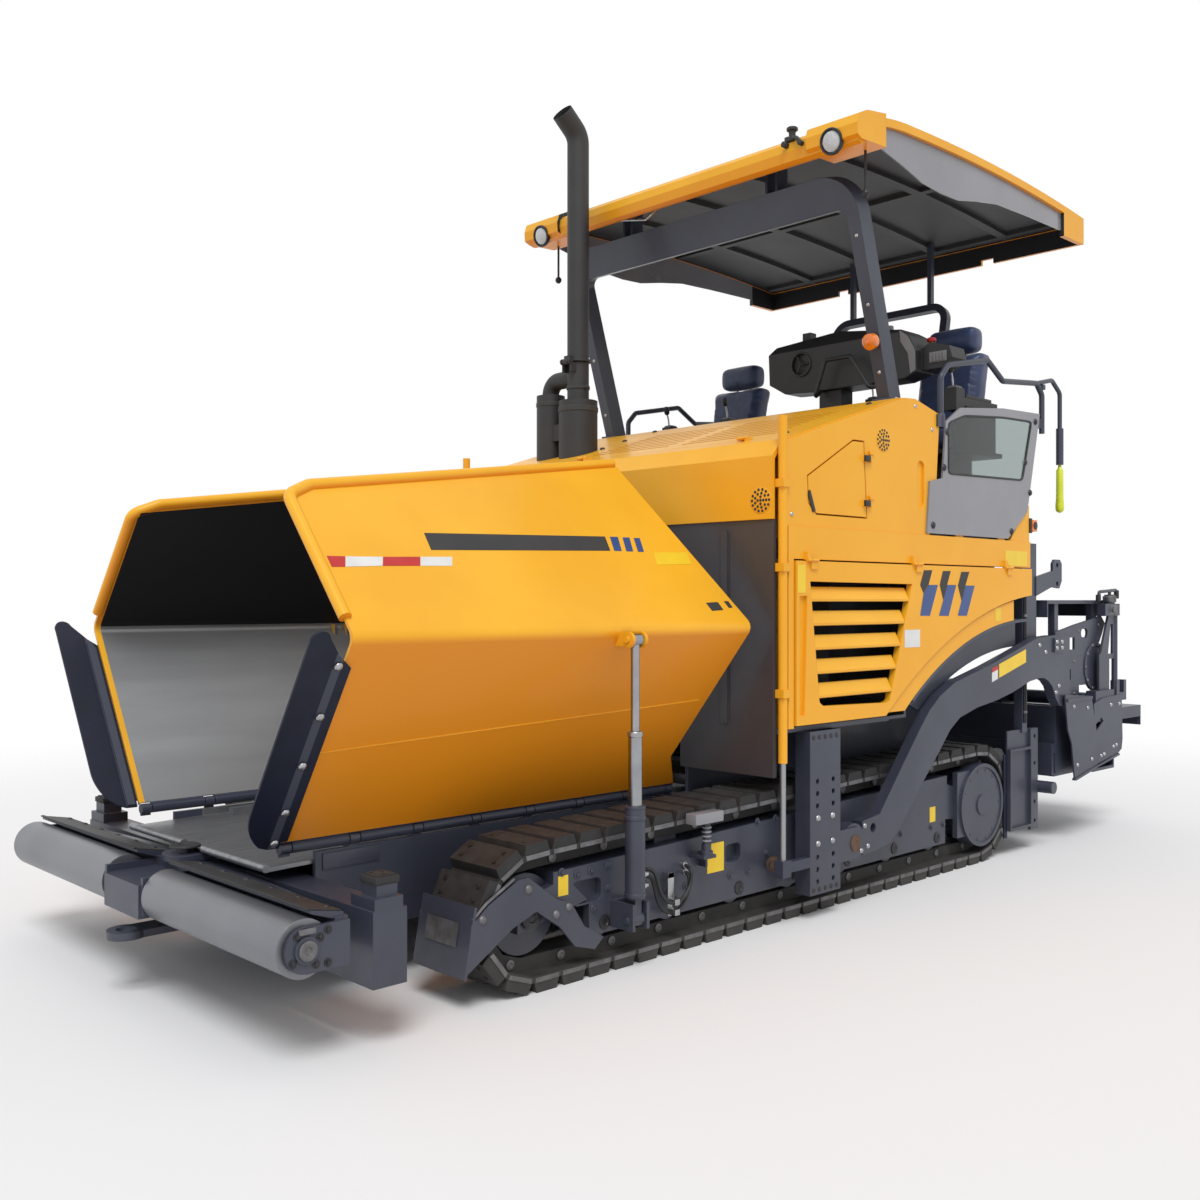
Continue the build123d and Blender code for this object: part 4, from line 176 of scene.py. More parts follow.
finishLooks = {
    "yellowPaint": {
        # the yellow's third colour is painted shade: a deeper orange laid on faces that point at the floor
        "colour": (0.93, 0.47, 0.022), "second": (0.87, 0.42, 0.018), "under": (0.90, 0.31, 0.010),
        "patch": 0.5, "rough": (0.34, 0.46), "grain": 0.0022, "bump": 0.05, "coat": 0.12, "shine": 0.32,
        "round": 0.004,
    },
    "slatePaint": {
        "colour": (0.043, 0.050, 0.076), "second": (0.033, 0.038, 0.060), "patch": 0.35, "rough": (0.38, 0.52),
        "grain": 0.003, "bump": 0.08, "coat": 0.15, "round": 0.004, "dust": 0.25, "dustTop": 0.5,
    },
    "charcoalPaint": {
        "colour": (0.022, 0.022, 0.025), "second": (0.032, 0.031, 0.032), "patch": 0.2, "rough": (0.5, 0.66),
        "grain": 0.002, "bump": 0.12, "round": 0.003,
    },
    "bulkheadPaint": {
        "colour": (0.060, 0.055, 0.060), "second": (0.045, 0.04, 0.046), "patch": 0.5, "rough": (0.35, 0.5),
        "grain": 0.003, "bump": 0.06, "coat": 0.1, "round": 0.003,
    },
    "padRubber": {
        "colour": (0.016, 0.016, 0.017), "second": (0.028, 0.027, 0.027), "patch": 0.06, "rough": (0.62, 0.85),
        "grain": 0.004, "bump": 0.35, "round": 0.004, "dust": 0.28, "dustTop": 0.35,
    },
    "flapRubber": {
        "colour": (0.008, 0.012, 0.032), "second": (0.006, 0.009, 0.022), "patch": 0.12, "rough": (0.48, 0.62),
        "grain": 0.003, "bump": 0.12, "shine": 0.35, "round": 0.003,
    },
    "bareSteel": {
        "colour": (0.34, 0.345, 0.36), "second": (0.26, 0.265, 0.28), "patch": 0.15, "metal": 0.85,
        "rough": (0.34, 0.5), "grain": 0.004, "bump": 0.08, "round": 0.003, "stretch": (1, 9, 1),
    },
    "shoeSteel": {
        "colour": (0.20, 0.20, 0.215), "second": (0.13, 0.125, 0.125), "patch": 0.05, "metal": 0.7,
        "rough": (0.42, 0.62), "grain": 0.003, "bump": 0.2, "dust": 0.5, "dustTop": 0.35,
    },
    "darkSteel": {
        "colour": (0.05, 0.05, 0.055), "second": (0.035, 0.035, 0.038), "patch": 0.04, "metal": 0.6,
        "rough": (0.35, 0.5), "grain": 0.002, "bump": 0.1,
    },
    "boltSteel": {
        "colour": (0.46, 0.465, 0.48), "second": (0.36, 0.36, 0.37), "patch": 0.03, "metal": 0.95,
        "rough": (0.22, 0.36), "grain": 0.001, "bump": 0.05,
    },
    "rollerSteel": {
        "colour": (0.235, 0.242, 0.262), "second": (0.200, 0.206, 0.226), "patch": 0.6, "metal": 0.75,
        "rough": (0.36, 0.44), "grain": 0.004, "bump": 0.02, "round": 0.004,
    },
    "chromeRod": {
        "colour": (0.36, 0.37, 0.39), "second": (0.30, 0.31, 0.33), "patch": 0.1, "metal": 1.0,
        "rough": (0.16, 0.24), "grain": 0.001, "bump": 0.01, "round": 0.002,
    },
    "smokedPlate": {
        "colour": (0.26, 0.26, 0.285), "second": (0.23, 0.23, 0.25), "patch": 0.4, "rough": (0.22, 0.3),
        "grain": 0.002, "bump": 0.02, "coat": 0.3, "round": 0.002,
    },
    "mouldedPlastic": {
        "colour": (0.014, 0.014, 0.016), "second": (0.020, 0.020, 0.022), "patch": 0.2, "rough": (0.42, 0.55),
        "grain": 0.0012, "bump": 0.2, "round": 0.006,
    },
    "greyPlastic": {
        "colour": (0.21, 0.21, 0.22), "second": (0.17, 0.17, 0.18), "patch": 0.2, "rough": (0.42, 0.55),
        "grain": 0.0012, "bump": 0.15, "round": 0.003,
    },
    "redPlastic": {
        "colour": (0.50, 0.012, 0.012), "second": (0.42, 0.01, 0.01), "patch": 0.1, "rough": (0.3, 0.4),
        "grain": 0.001, "bump": 0.05,
    },
    "amberLens": {
        "colour": (0.85, 0.22, 0.01), "second": (0.75, 0.17, 0.008), "patch": 0.03, "rough": (0.12, 0.2),
        "grain": 0.004, "bump": 0.2, "coat": 0.8,
    },
    "lampLens": {
        "colour": (0.62, 0.64, 0.66), "second": (0.5, 0.52, 0.55), "patch": 0.02, "rough": (0.08, 0.14),
        "grain": 0.004, "bump": 0.3, "coat": 1.0,
    },
    "signYellow": {
        "colour": (0.90, 0.62, 0.03), "second": (0.86, 0.57, 0.025), "patch": 0.1, "rough": (0.35, 0.42),
        "grain": 0.001, "bump": 0.03,
    },
    "signWhite": {
        "colour": (0.78, 0.78, 0.77), "second": (0.70, 0.70, 0.69), "patch": 0.1, "rough": (0.35, 0.42),
        "grain": 0.001, "bump": 0.03,
    },
    "signRed": {
        "colour": (0.55, 0.016, 0.018), "second": (0.48, 0.012, 0.014), "patch": 0.1, "rough": (0.3, 0.38),
        "grain": 0.001, "bump": 0.03,
    },
    "stripeBlue": {
        "colour": (0.030, 0.080, 0.26), "second": (0.024, 0.065, 0.22), "patch": 0.2, "rough": (0.3, 0.4),
        "grain": 0.001, "bump": 0.03,
    },
    "seatFabric": {
        "colour": (0.016, 0.035, 0.115), "second": (0.010, 0.022, 0.075), "patch": 0.05, "rough": (0.42, 0.6),
        "grain": 0.0018, "bump": 0.3, "coat": 0.1, "sheen": 0.3,
    },
    "limePlastic": {
        "colour": (0.70, 0.78, 0.02), "second": (0.62, 0.70, 0.02), "patch": 0.1, "rough": (0.25, 0.35),
        "grain": 0.002, "bump": 0.05, "coat": 0.3,
    },
    "hoseRubber": {
        "colour": (0.012, 0.012, 0.013), "second": (0.02, 0.02, 0.021), "patch": 0.02, "rough": (0.45, 0.6),
        "grain": 0.0015, "bump": 0.3,
    },
    "castIron": {
        "colour": (0.035, 0.036, 0.038), "second": (0.05, 0.048, 0.045), "patch": 0.08, "rough": (0.6, 0.8),
        "grain": 0.003, "bump": 0.3, "round": 0.004,
    },
    "rustySteel": {
        "colour": (0.16, 0.085, 0.05), "second": (0.09, 0.06, 0.045), "patch": 0.05, "metal": 0.4,
        "rough": (0.5, 0.75), "grain": 0.003, "bump": 0.3,
    },
}
surfaceLook = {
    "patchSpread": (0.35, 0.65),
    "patchDetail": 5,
    "grainDetail": 2,
    "bumpDepth": 0.001,
    "roundSamples": 4,
    "coatRough": 0.12,
    "underSpread": (0.15, -0.55),  # the normal's Z between the plain paint and the painted shade on faces that point at the floor
    "dustColour": (0.16, 0.145, 0.125),
    "dustSpot": 1 / 14,
    "dustDetail": 6,
}


def makeFinish(name, look):
    finish = bpy.data.materials.new(name)
    finish.use_nodes = True
    tree = finish.node_tree
    shader = tree.nodes["Principled BSDF"].inputs
    shader["Metallic"].default_value = look.get("metal", 0.0)
    shader["Coat Weight"].default_value = look.get("coat", 0.0)
    shader["Coat Roughness"].default_value = surfaceLook["coatRough"]
    shader["Specular IOR Level"].default_value = look.get("shine", 0.5)
    shader["Sheen Weight"].default_value = look.get("sheen", 0.0)
    where = addNode(tree, "ShaderNodeTexCoord").outputs
    stretch = {"Scale": look.get("stretch", (1, 1, 1)), "Vector": where["Object"]}
    place = addNode(tree, "ShaderNodeMapping", stretch).outputs[0]

    patches = noiseOf(tree, place, look["patch"], surfaceLook["patchDetail"])
    share = spreadOf(tree, patches, surfaceLook["patchSpread"])
    paint = mixColour(tree, share, look["colour"], look["second"])
    # painted shade: faces that point at the floor get the deeper orange, set by the normal's Z
    if "under" in look:
        down = spreadOf(tree, splitOf(tree, where["Normal"])["Z"], surfaceLook["underSpread"])
        paint = mixColour(tree, down, paint, look["under"])
    if "dust" in look:
        low = spreadOf(tree, splitOf(tree, where["Object"])["Z"], (look["dustTop"], 0), (0, look["dust"]))
        spots = noiseOf(tree, where["Object"], surfaceLook["dustSpot"], surfaceLook["dustDetail"])
        paint = mixColour(tree, mathOf(tree, "MULTIPLY", low, spots), paint, surfaceLook["dustColour"])
    tree.links.new(paint, shader["Base Color"])
    tree.links.new(spreadOf(tree, patches, toRange=look["rough"]), shader["Roughness"])

    grain = noiseOf(tree, place, look["grain"], surfaceLook["grainDetail"])
    bump = {"Strength": look["bump"], "Distance": surfaceLook["bumpDepth"], "Height": grain}
    if "round" in look:
        edge = addNode(tree, "ShaderNodeBevel", {"Radius": look["round"]}, samples=surfaceLook["roundSamples"])
        bump["Normal"] = edge.outputs[0]
    tree.links.new(addNode(tree, "ShaderNodeBump", bump).outputs[0], shader["Normal"])
    return finish


# Finishes that change with the place on the piece: the places are in the frame's own metres

wingLining = {
    "frontX": 2.984,
    "rimSlope": 0.1304,
    "rimZ": 2.350,
    "creaseZ": 1.437,
    "tubeZ": 0.648,
    "inward": 0.3,
    "streaks": {"stretch": (0.4, 1, 3), "size": 1 / 3, "detail": 6},
    "steel": ((0.36, 0.37, 0.38), (0.22, 0.225, 0.235)),
    # painted shade: the colour laid on the wing's inside above the crease
    "shadeBlack": (0.012, 0.012, 0.013),
    "metal": 0.75,
}
ramBands = {"rodTop": 0.789, "footTop": 0.331}
roofLining = {"middleX": -1.15, "inward": -0.3}
flapStrip = {"middleX": 3.045, "half": 0.0175, "colour": (0.060, 0.068, 0.095)}
paneLook = {"colour": (0.30, 0.36, 0.35), "rough": 0.05, "bend": 1.45}


def layPaint(tree, share, colour):
    base = tree.nodes["Principled BSDF"].inputs["Base Color"]
    tree.links.new(mixColour(tree, share, base.links[0].from_socket, colour), base)


# the wing is bare steel inside below its crease; the black inside above it is painted shade
def makeWingPaint(name, look, away):
    finish = makeFinish(name, look)
    tree = finish.node_tree
    lining = wingLining
    where = addNode(tree, "ShaderNodeTexCoord").outputs
    place = splitOf(tree, where["Object"])
    inward = mathOf(tree, "MULTIPLY", splitOf(tree, where["Normal"])["Y"], -away)
    rim = mathOf(tree, "MULTIPLY_ADD", place["X"], lining["rimSlope"], place["Z"])
    inner = mathOf(tree, "GREATER_THAN", inward, lining["inward"])
    inner = mathOf(tree, "MULTIPLY", inner, mathOf(tree, "LESS_THAN", place["X"], lining["frontX"]))
    inner = mathOf(tree, "MULTIPLY", inner, mathOf(tree, "LESS_THAN", rim, lining["rimZ"]))
    # painted shade: the inside above the crease is laid black
    upper = mathOf(tree, "GREATER_THAN", place["Z"], lining["creaseZ"])
    low = mathOf(tree, "LESS_THAN", place["Z"], lining["tubeZ"])
    stretch = {"Scale": lining["streaks"]["stretch"], "Vector": where["Object"]}
    stretched = addNode(tree, "ShaderNodeMapping", stretch).outputs[0]
    streaks = noiseOf(tree, stretched, lining["streaks"]["size"], lining["streaks"]["detail"])
    steel = mixColour(tree, streaks, *lining["steel"])
    layPaint(tree, inner, mixColour(tree, upper, steel, lining["shadeBlack"]))
    layPaint(tree, low, finishLooks["slatePaint"]["colour"])
    bare = mathOf(tree, "MULTIPLY", inner, mathOf(tree, "SUBTRACT", 1, upper))
    bare = mathOf(tree, "MULTIPLY", bare, mathOf(tree, "GREATER_THAN", place["Z"], lining["tubeZ"]))
    metal = mathOf(tree, "MULTIPLY", bare, lining["metal"])
    tree.links.new(metal, tree.nodes["Principled BSDF"].inputs["Metallic"])
    return finish


# a levelling ram has a painted tube, a bright rod below it and a dark foot
def makeRamPaint(name, look):
    finish = makeFinish(name, look)
    tree = finish.node_tree
    height = splitOf(tree, addNode(tree, "ShaderNodeTexCoord").outputs["Object"])["Z"]
    rod = mathOf(tree, "LESS_THAN", height, ramBands["rodTop"])
    foot = mathOf(tree, "LESS_THAN", height, ramBands["footTop"])
    layPaint(tree, rod, finishLooks["chromeRod"]["colour"])
    layPaint(tree, foot, finishLooks["slatePaint"]["colour"])
    tree.links.new(mathOf(tree, "SUBTRACT", rod, foot), tree.nodes["Principled BSDF"].inputs["Metallic"])
    return finish


# the canopy is charcoal on the faces that look towards its middle
def makeRoofPaint(name, look):
    finish = makeFinish(name, look)
    tree = finish.node_tree
    where = addNode(tree, "ShaderNodeTexCoord").outputs
    shift = {0: where["Object"], 1: (1, 1, 0), 2: (-roofLining["middleX"], 0, 0)}
    fromMiddle = addNode(tree, "ShaderNodeVectorMath", shift, operation="MULTIPLY_ADD").outputs[0]
    along = addNode(tree, "ShaderNodeVectorMath", {0: fromMiddle, 1: where["Normal"]}, operation="DOT_PRODUCT")
    inward = mathOf(tree, "LESS_THAN", along.outputs["Value"], roofLining["inward"])
    layPaint(tree, inward, finishLooks["charcoalPaint"]["colour"])
    return finish


# a flap has a painted strip where it is bolted to the wing
def makeFlapPaint(name, look):
    finish = makeFinish(name, look)
    tree = finish.node_tree
    along = splitOf(tree, addNode(tree, "ShaderNodeTexCoord").outputs["Object"])["X"]
    layPaint(tree, mathOf(tree, "COMPARE", along, flapStrip["middleX"], flapStrip["half"]), flapStrip["colour"])
    return finish


def makePaneGlass(look):
    finish = bpy.data.materials.new("paneGlass")
    finish.use_nodes = True
    shader = finish.node_tree.nodes["Principled BSDF"].inputs
    shader["Base Color"].default_value = (*look["colour"], 1)
    shader["Roughness"].default_value = look["rough"]
    shader["Transmission Weight"].default_value = 1.0
    shader["IOR"].default_value = look["bend"]
    return finish


finishes = {name: makeFinish(name, look) for name, look in finishLooks.items()}
finishes["paneGlass"] = makePaneGlass(paneLook)
finishes["roofPaint"] = makeRoofPaint("roofPaint", finishLooks["yellowPaint"])
finishes["flapPaint"] = makeFlapPaint("flapPaint", finishLooks["flapRubber"])
finishes["wingPaintLeft"] = makeWingPaint("wingPaintLeft", finishLooks["yellowPaint"], 1)
finishes["wingPaintRight"] = makeWingPaint("wingPaintRight", finishLooks["yellowPaint"], -1)
finishes["ramPaint"] = makeRamPaint("ramPaint", finishLooks["yellowPaint"])

nodeFinish = {
    "yellowPaint": ("hood", "hood_lid", "side_bodies", "louvre_door_*", "service_door_*"),
    "roofPaint": ("canopy_roof",),
    "wingPaintLeft": ("wing_left",),
    "wingPaintRight": ("wing_right",),
    "ramPaint": ("levelling_rams",),
    "slatePaint": (
        "main_frame", "deck_frame", "front_beam", "rear_frame", "track_frames", "tow_columns", "fenders",
        "platform", "canopy_arches", "push_beam", "wing_barrel_*", "tow_arm_*", "screed_frame",
        "screed_extension_*", "hoist_barrel_*", "handrails",
    ),
    "charcoalPaint": ("silencer", "exhaust_pipe", "roof_liner"),
    "bulkheadPaint": ("bulkhead",),
    "padRubber": ("crawlers",),
    "flapPaint": ("apron_*",),
    "bareSteel": ("hopper_floor", "conveyor", "console_slide", "auger_*"),
    "rollerSteel": ("push_roller_*",),
    "chromeRod": ("wing_stage_*", "wing_rod_*", "hoist_rod_*"),
    "smokedPlate": ("side_screens", "side_visors"),
    "mouldedPlastic": ("console", "seat_bases"),
    "seatFabric": ("seat_left", "seat_right"),
    "castIron": ("engine_block",),
    "paneGlass": ("screen_glass",),
}


def dressNodes():
    for finish, words in nodeFinish.items():
        for name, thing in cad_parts.items():
            if any(name == word or (word.endswith("*") and name.startswith(word[:-1])) for word in words):
                thing.data.materials.clear()
                thing.data.materials.append(finishes[finish])


dressNodes()
print("finishes made and nodes dressed")

# Shapes: every table below is in the drawing's metres, and the frame's X is drawingShift more

drawingShift = 0.1
repeatSeed = 3
shapeLook = {
    "roundSteps": 2,
    "roundProfile": 0.6,
    "roundFrom": 0.5,  # edges that turn by more, in radians, are rounded
    "mostRound": 0.4,  # of a box's thinnest side
    "mostBend": 0.45,  # of the run before or after a rounded corner
    "leastMitre": 0.3,  # cosine at which a mitred joint stops getting longer
    "steep": 0.9,  # Z of a bar's direction from which its ring starts at X
    "sharpFrom": 35,  # degrees
}
up = (0, 0, 1)
out = (0, 1, 0)
ahead = (1, 0, 0)


def turnTo(aim):
    return Vector(aim).to_track_quat("Z", "Y").to_matrix().to_4x4()


def onCircle(radius, place, count, start=0.0):
    angle = start + 2 * math.pi * place / count
    return radius * math.cos(angle), radius * math.sin(angle), angle


def roundEdges(shape, faces, width):
    edges = list({edge for face in faces for edge in face.edges if len(edge.link_faces) == 2})
    edges = [edge for edge in edges if edge.calc_face_angle(0) > shapeLook["roundFrom"]]
    bmesh.ops.bevel(shape, geom=edges, offset=width, segments=shapeLook["roundSteps"],
                    profile=shapeLook["roundProfile"], affect="EDGES")


def addBox(shape, low, high, soft=0.004):
    made = bmesh.ops.create_cube(shape, size=1)["verts"]
    for point in made:
        point.co = Vector([low[axis] if point.co[axis] < 0 else high[axis] for axis in range(3)])
    if soft:
        faces = list({face for point in made for face in point.link_faces})
        thinnest = min(high[axis] - low[axis] for axis in range(3))
        roundEdges(shape, faces, min(soft, shapeLook["mostRound"] * thinnest))


def addPlate(shape, outline, thick, soft=0.0):
    near = [shape.verts.new(Vector(point)) for point in outline]
    far = [shape.verts.new(Vector(point) + Vector(thick)) for point in outline]
    faces = [shape.faces.new(near), shape.faces.new(far[::-1])]
    for place in range(len(outline)):
        after = (place + 1) % len(outline)
        faces.append(shape.faces.new((near[after], near[place], far[place], far[after])))
    if soft:
        roundEdges(shape, faces, soft)


def addWalls(shape, rings, closed):
    pairs = list(zip(rings, rings[1:])) + ([(rings[-1], rings[0])] if closed else [])
    for first, second in pairs:
        for side in range(len(first)):
            after = (side + 1) % len(first)
            shape.faces.new((first[side], first[after], second[after], second[side]))
    if not closed:
        shape.faces.new(rings[0][::-1])
        shape.faces.new(rings[-1])


# profile: pairs of distance along and radius; with a bore the shape is a ring
def addTurned(shape, profile, foot, aim, count=24, bore=None):
    toPlace = Matrix.Translation(Vector(foot)) @ turnTo(aim)
    if bore:
        profile = [*profile, (profile[-1][0], bore), (profile[0][0], bore)]
    rings = []
    for along, radius in profile:
        spots = [onCircle(radius, side, count)[:2] for side in range(count)]
        rings.append([shape.verts.new(toPlace @ Vector((*spot, along))) for spot in spots])
    addWalls(shape, rings, bool(bore))


# a round bar along straight runs with mitred joints
def addTube(shape, points, radius, count=12, closed=False):
    points = [Vector(point) for point in points]
    rings = []
    across = None
    for place, point in enumerate(points):
        into = (point - points[place - 1]).normalized()
        away = (points[(place + 1) % len(points)] - point).normalized()
        if not closed:
            into, away = away if place == 0 else into, into if place == len(points) - 1 else away
        along = (into + away).normalized()
        if across is None:
            across = along.cross(Vector(up if abs(along.z) < shapeLook["steep"] else ahead)).normalized()
        else:
            across = (across - along * across.dot(along)).normalized()
        other = along.cross(across)
        stretch = 1 / max(shapeLook["leastMitre"], along.dot(into))
        bend = (away - into).normalized() if (away - into).length > 1e-4 else Vector()
        ring = []
        for side in range(count):
            first, second, _ = onCircle(1, side, count)
            spot = across * first + other * second
            spot += bend * spot.dot(bend) * (stretch - 1)
            ring.append(shape.verts.new(point + spot * radius))
        rings.append(ring)
    addWalls(shape, rings, closed)


# the runs of a bar with its corners rounded
def bent(points, radius, steps=5):
    points = [Vector(point) for point in points]
    line = [points[0]]
    for before, corner, after in zip(points, points[1:], points[2:]):
        first, last = (corner + way.normalized() * min(radius, shapeLook["mostBend"] * way.length)
                       for way in (before - corner, after - corner))
        for step in range(steps + 1):
            share = step / steps
            line.append(first * (1 - share) ** 2 + corner * 2 * share * (1 - share) + last * share ** 2)
    return line + [points[-1]]


# the faces' normals are worked out afresh first, or a mirrored shape keeps faces that point inwards
def linkMesh(shape, name):
    shape.normal_update()
    bmesh.ops.recalc_face_normals(shape, faces=shape.faces)
    mesh = bpy.data.meshes.new(name)
    shape.to_mesh(mesh)
    shape.free()
    thing = bpy.data.objects.new(name, mesh)
    bpy.context.collection.objects.link(thing)
    return thing


def shadeParts(mesh):
    mesh.shade_smooth()
    mesh.set_sharp_from_angle(angle=math.radians(shapeLook["sharpFrom"]))


def finishPiece(shape, name, finish, body, slot):
    bmesh.ops.translate(shape, verts=shape.verts, vec=(drawingShift, 0, 0))
    piece = linkMesh(shape, name)
    piece.data.materials.append(finishes[finish])
    shadeParts(piece.data)
    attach(piece, body)


def mirrorShape(shape):
    made = bmesh.ops.duplicate(shape, geom=shape.verts[:] + shape.edges[:] + shape.faces[:])["geom"]
    for point in made:
        if isinstance(point, bmesh.types.BMVert):
            point.co.y = -point.co.y


# each row of a table: name, finish, body, slot, which sides, shapes; sides is one (as drawn),
# both (with its mirror image in one piece) or each (a piece a side, the body's * being that side)
def makePieces(table):
    for name, (finish, body, slot, spread, shapes) in table.items():
        for side, mirror in sides if spread == "each" else (("", 1),):
            shape = bmesh.new()
            for build, *values in shapes:
                build(shape, *values)
            if spread == "both":
                mirrorShape(shape)
            for point in shape.verts if mirror < 0 else ():
                point.co.y = -point.co.y
            label = name + "_" + side if side else name
            finishPiece(shape, label, finish, body.replace("*", side), slot)


# Repeats: one tree sets a pattern on each place, turned to the place's aim

def makeRepeatTree():
    tree = bpy.data.node_groups.new("repeatTree", "GeometryNodeTree")
    sockets = {}
    for label, kind in (("Geometry", "Geometry"), ("Shape", "Object"), ("Size", "Float"), ("Uneven", "Float"),
                        ("Seed", "Int"), ("Finish", "Material")):
        socket = tree.interface.new_socket(name=label, in_out="INPUT", socket_type="NodeSocket" + kind)
        sockets[label] = socket.identifier
    tree.interface.new_socket(name="Geometry", in_out="OUTPUT", socket_type="NodeSocketGeometry")
    given = addNode(tree, "NodeGroupInput").outputs
    shape = addNode(tree, "GeometryNodeObjectInfo", {"Object": given["Shape"]}).outputs["Geometry"]
    aim = addNode(tree, "GeometryNodeInputNamedAttribute", {"Name": "aim"}, data_type="FLOAT_VECTOR")
    spin = addNode(tree, "GeometryNodeInputNamedAttribute", {"Name": "spin"}, data_type="FLOAT")
    turn = addNode(tree, "FunctionNodeAlignRotationToVector", {"Vector": aim.outputs["Attribute"]}, axis="Z")
    least = mathOf(tree, "MULTIPLY", given["Uneven"], -1)
    limits = {"Min": least, "Max": given["Uneven"], "Seed": given["Seed"]}
    chance = addNode(tree, "FunctionNodeRandomValue", limits, data_type="FLOAT").outputs["Value"]
    angle = mathOf(tree, "ADD", spin.outputs["Attribute"], chance)
    upright = addNode(tree, "ShaderNodeCombineXYZ", {"Z": angle}).outputs[0]
    both = {"Rotation": turn.outputs["Rotation"], "Rotate By": upright}
    rotate = addNode(tree, "FunctionNodeRotateRotation", both, rotation_space="LOCAL").outputs[0]
    copies = {"Points": given["Geometry"], "Instance": shape, "Rotation": rotate, "Scale": given["Size"]}
    place = addNode(tree, "GeometryNodeInstanceOnPoints", copies).outputs[0]
    real = addNode(tree, "GeometryNodeRealizeInstances", {0: place}).outputs[0]
    paint = addNode(tree, "GeometryNodeSetMaterial", {"Geometry": real, "Material": given["Finish"]}).outputs[0]
    addNode(tree, "NodeGroupOutput", {0: paint})
    return tree, sockets


repeatTree, repeatSockets = makeRepeatTree()

patternLooks = {
    # turned profiles with their number of sides
    "hexBolt": [([(0, 1.75), (0.28, 1.75), (0.34, 1.6)], 14), ([(0.3, 1.0), (1.0, 1.0), (1.12, 0.86)], 6)],
    "flatBolt": [([(0, 1.3), (0.12, 1.3), (0.2, 1.15)], 10)],
    "domeBolt": [([(0, 1.5), (0.15, 1.45), (0.5, 1.2), (0.75, 0.8), (0.85, 0.3)], 12)],
    "ringPin": [([(0, 1), (0.25, 1), (0.3, 0.85), (0.3, 0.5), (0.2, 0.42)], 14)],
    "hexDot": [([(0, 1.0), (0.2, 1.0), (0.25, 0.9)], 8)],
}


# shapes to be repeated, which are taken away again at the end
def makePatterns(looks):
    made = {}
    for name, profiles in looks.items():
        shape = bmesh.new()
        for profile, count in profiles:
            addTurned(shape, profile, (0, 0, 0), up, count)
        made[name] = linkMesh(shape, name)
        shadeParts(made[name].data)
    return made


patterns = makePatterns(patternLooks)


# places: point, aim and spin of each copy
def repeatPiece(name, pattern, places, finish, body, slot, size, uneven=0.0):
    mesh = bpy.data.meshes.new(name)
    mesh.from_pydata([Vector(spot) + Vector((drawingShift, 0, 0)) for spot, _, _ in places], [], [])
    mesh.attributes.new("aim", "FLOAT_VECTOR", "POINT")
    mesh.attributes.new("spin", "FLOAT", "POINT")
    for place, (_, aim, spin) in enumerate(places):
        mesh.attributes["aim"].data[place].vector = aim
        mesh.attributes["spin"].data[place].value = spin
    piece = bpy.data.objects.new(name, mesh)
    bpy.context.collection.objects.link(piece)
    modifier = piece.modifiers.new("repeat", "NODES")
    modifier.node_group = repeatTree
    for label, value in (("Shape", patterns[pattern]), ("Size", size), ("Uneven", uneven), ("Seed", repeatSeed),
                         ("Finish", finishes[finish])):
        modifier[repeatSockets[label]] = value
    applyModifiers(piece)
    piece.data.name = name
    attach(piece, body)


def applyModifiers(thing):
    ready = thing.evaluated_get(bpy.context.evaluated_depsgraph_get())
    mesh = bpy.data.meshes.new_from_object(ready)
    thing.modifiers.clear()
    thing.data = mesh


def mirrored(places):
    return [((x, -y, z), (ax, -ay, az), spin) for (x, y, z), (ax, ay, az), spin in places]


# each row of a table: name, pattern, finish, body, slot, which sides, size, places
def makeRepeats(table):
    for name, (pattern, finish, body, slot, spread, size, places) in table.items():
        if spread == "each":
            for side, mirror in sides:
                spots = places if mirror > 0 else mirrored(places)
                repeatPiece(name + "_" + side, pattern, spots, finish, body.replace("*", side), slot, size)
        else:
            spots = places + mirrored(places) if spread == "both" else places
            repeatPiece(name, pattern, spots, finish, body, slot, size)


def onSide(y, spots, spin=0.0):
    return [((x, y, z), out, spin) for x, z in spots]


def row(start, end, count, aim):
    first, last = Vector(start), Vector(end)
    return [(first.lerp(last, place / (count - 1)), aim, 0.0) for place in range(count)]


def ring(centre, radius, count, aim, start=0.0):
    places = []
    for place in range(count):
        first, second, angle = onCircle(radius, place, count, start)
        places.append((Vector(centre) + turnTo(aim) @ Vector((first, second, 0)), aim, angle))
    return places


# Crawlers: steel shoe plates between pad and chain, bolts in the pads, pins in the chain

crawlerLook = {
    "shoes": 60,
    "outerY": 1.120,
    "width": 0.305,
    "idler": (2.05, 0.300),  # x and radius outside the pads
    "sprocket": (-1.45, 0.352),
    "pad": 0.042,
    "plate": 0.022 * 0.86,
    "plateSpan": (0.07, 0.93),  # share of the pitch
    "plateSoft": 0.0025,
    "proud": 0.0035,  # how far a shoe plate stands out beyond the pad's side
    "boltAlong": (-0.028, 0.028),
    "boltAcross": (-0.105, 0.105),
    "boltSunk": 0.001,
    "boltSize": 0.008,
    "pinEvery": 2,
    "pinAcross": 0.0705,
    "pinDeep": 0.055,
    "pinSize": 0.021,
}


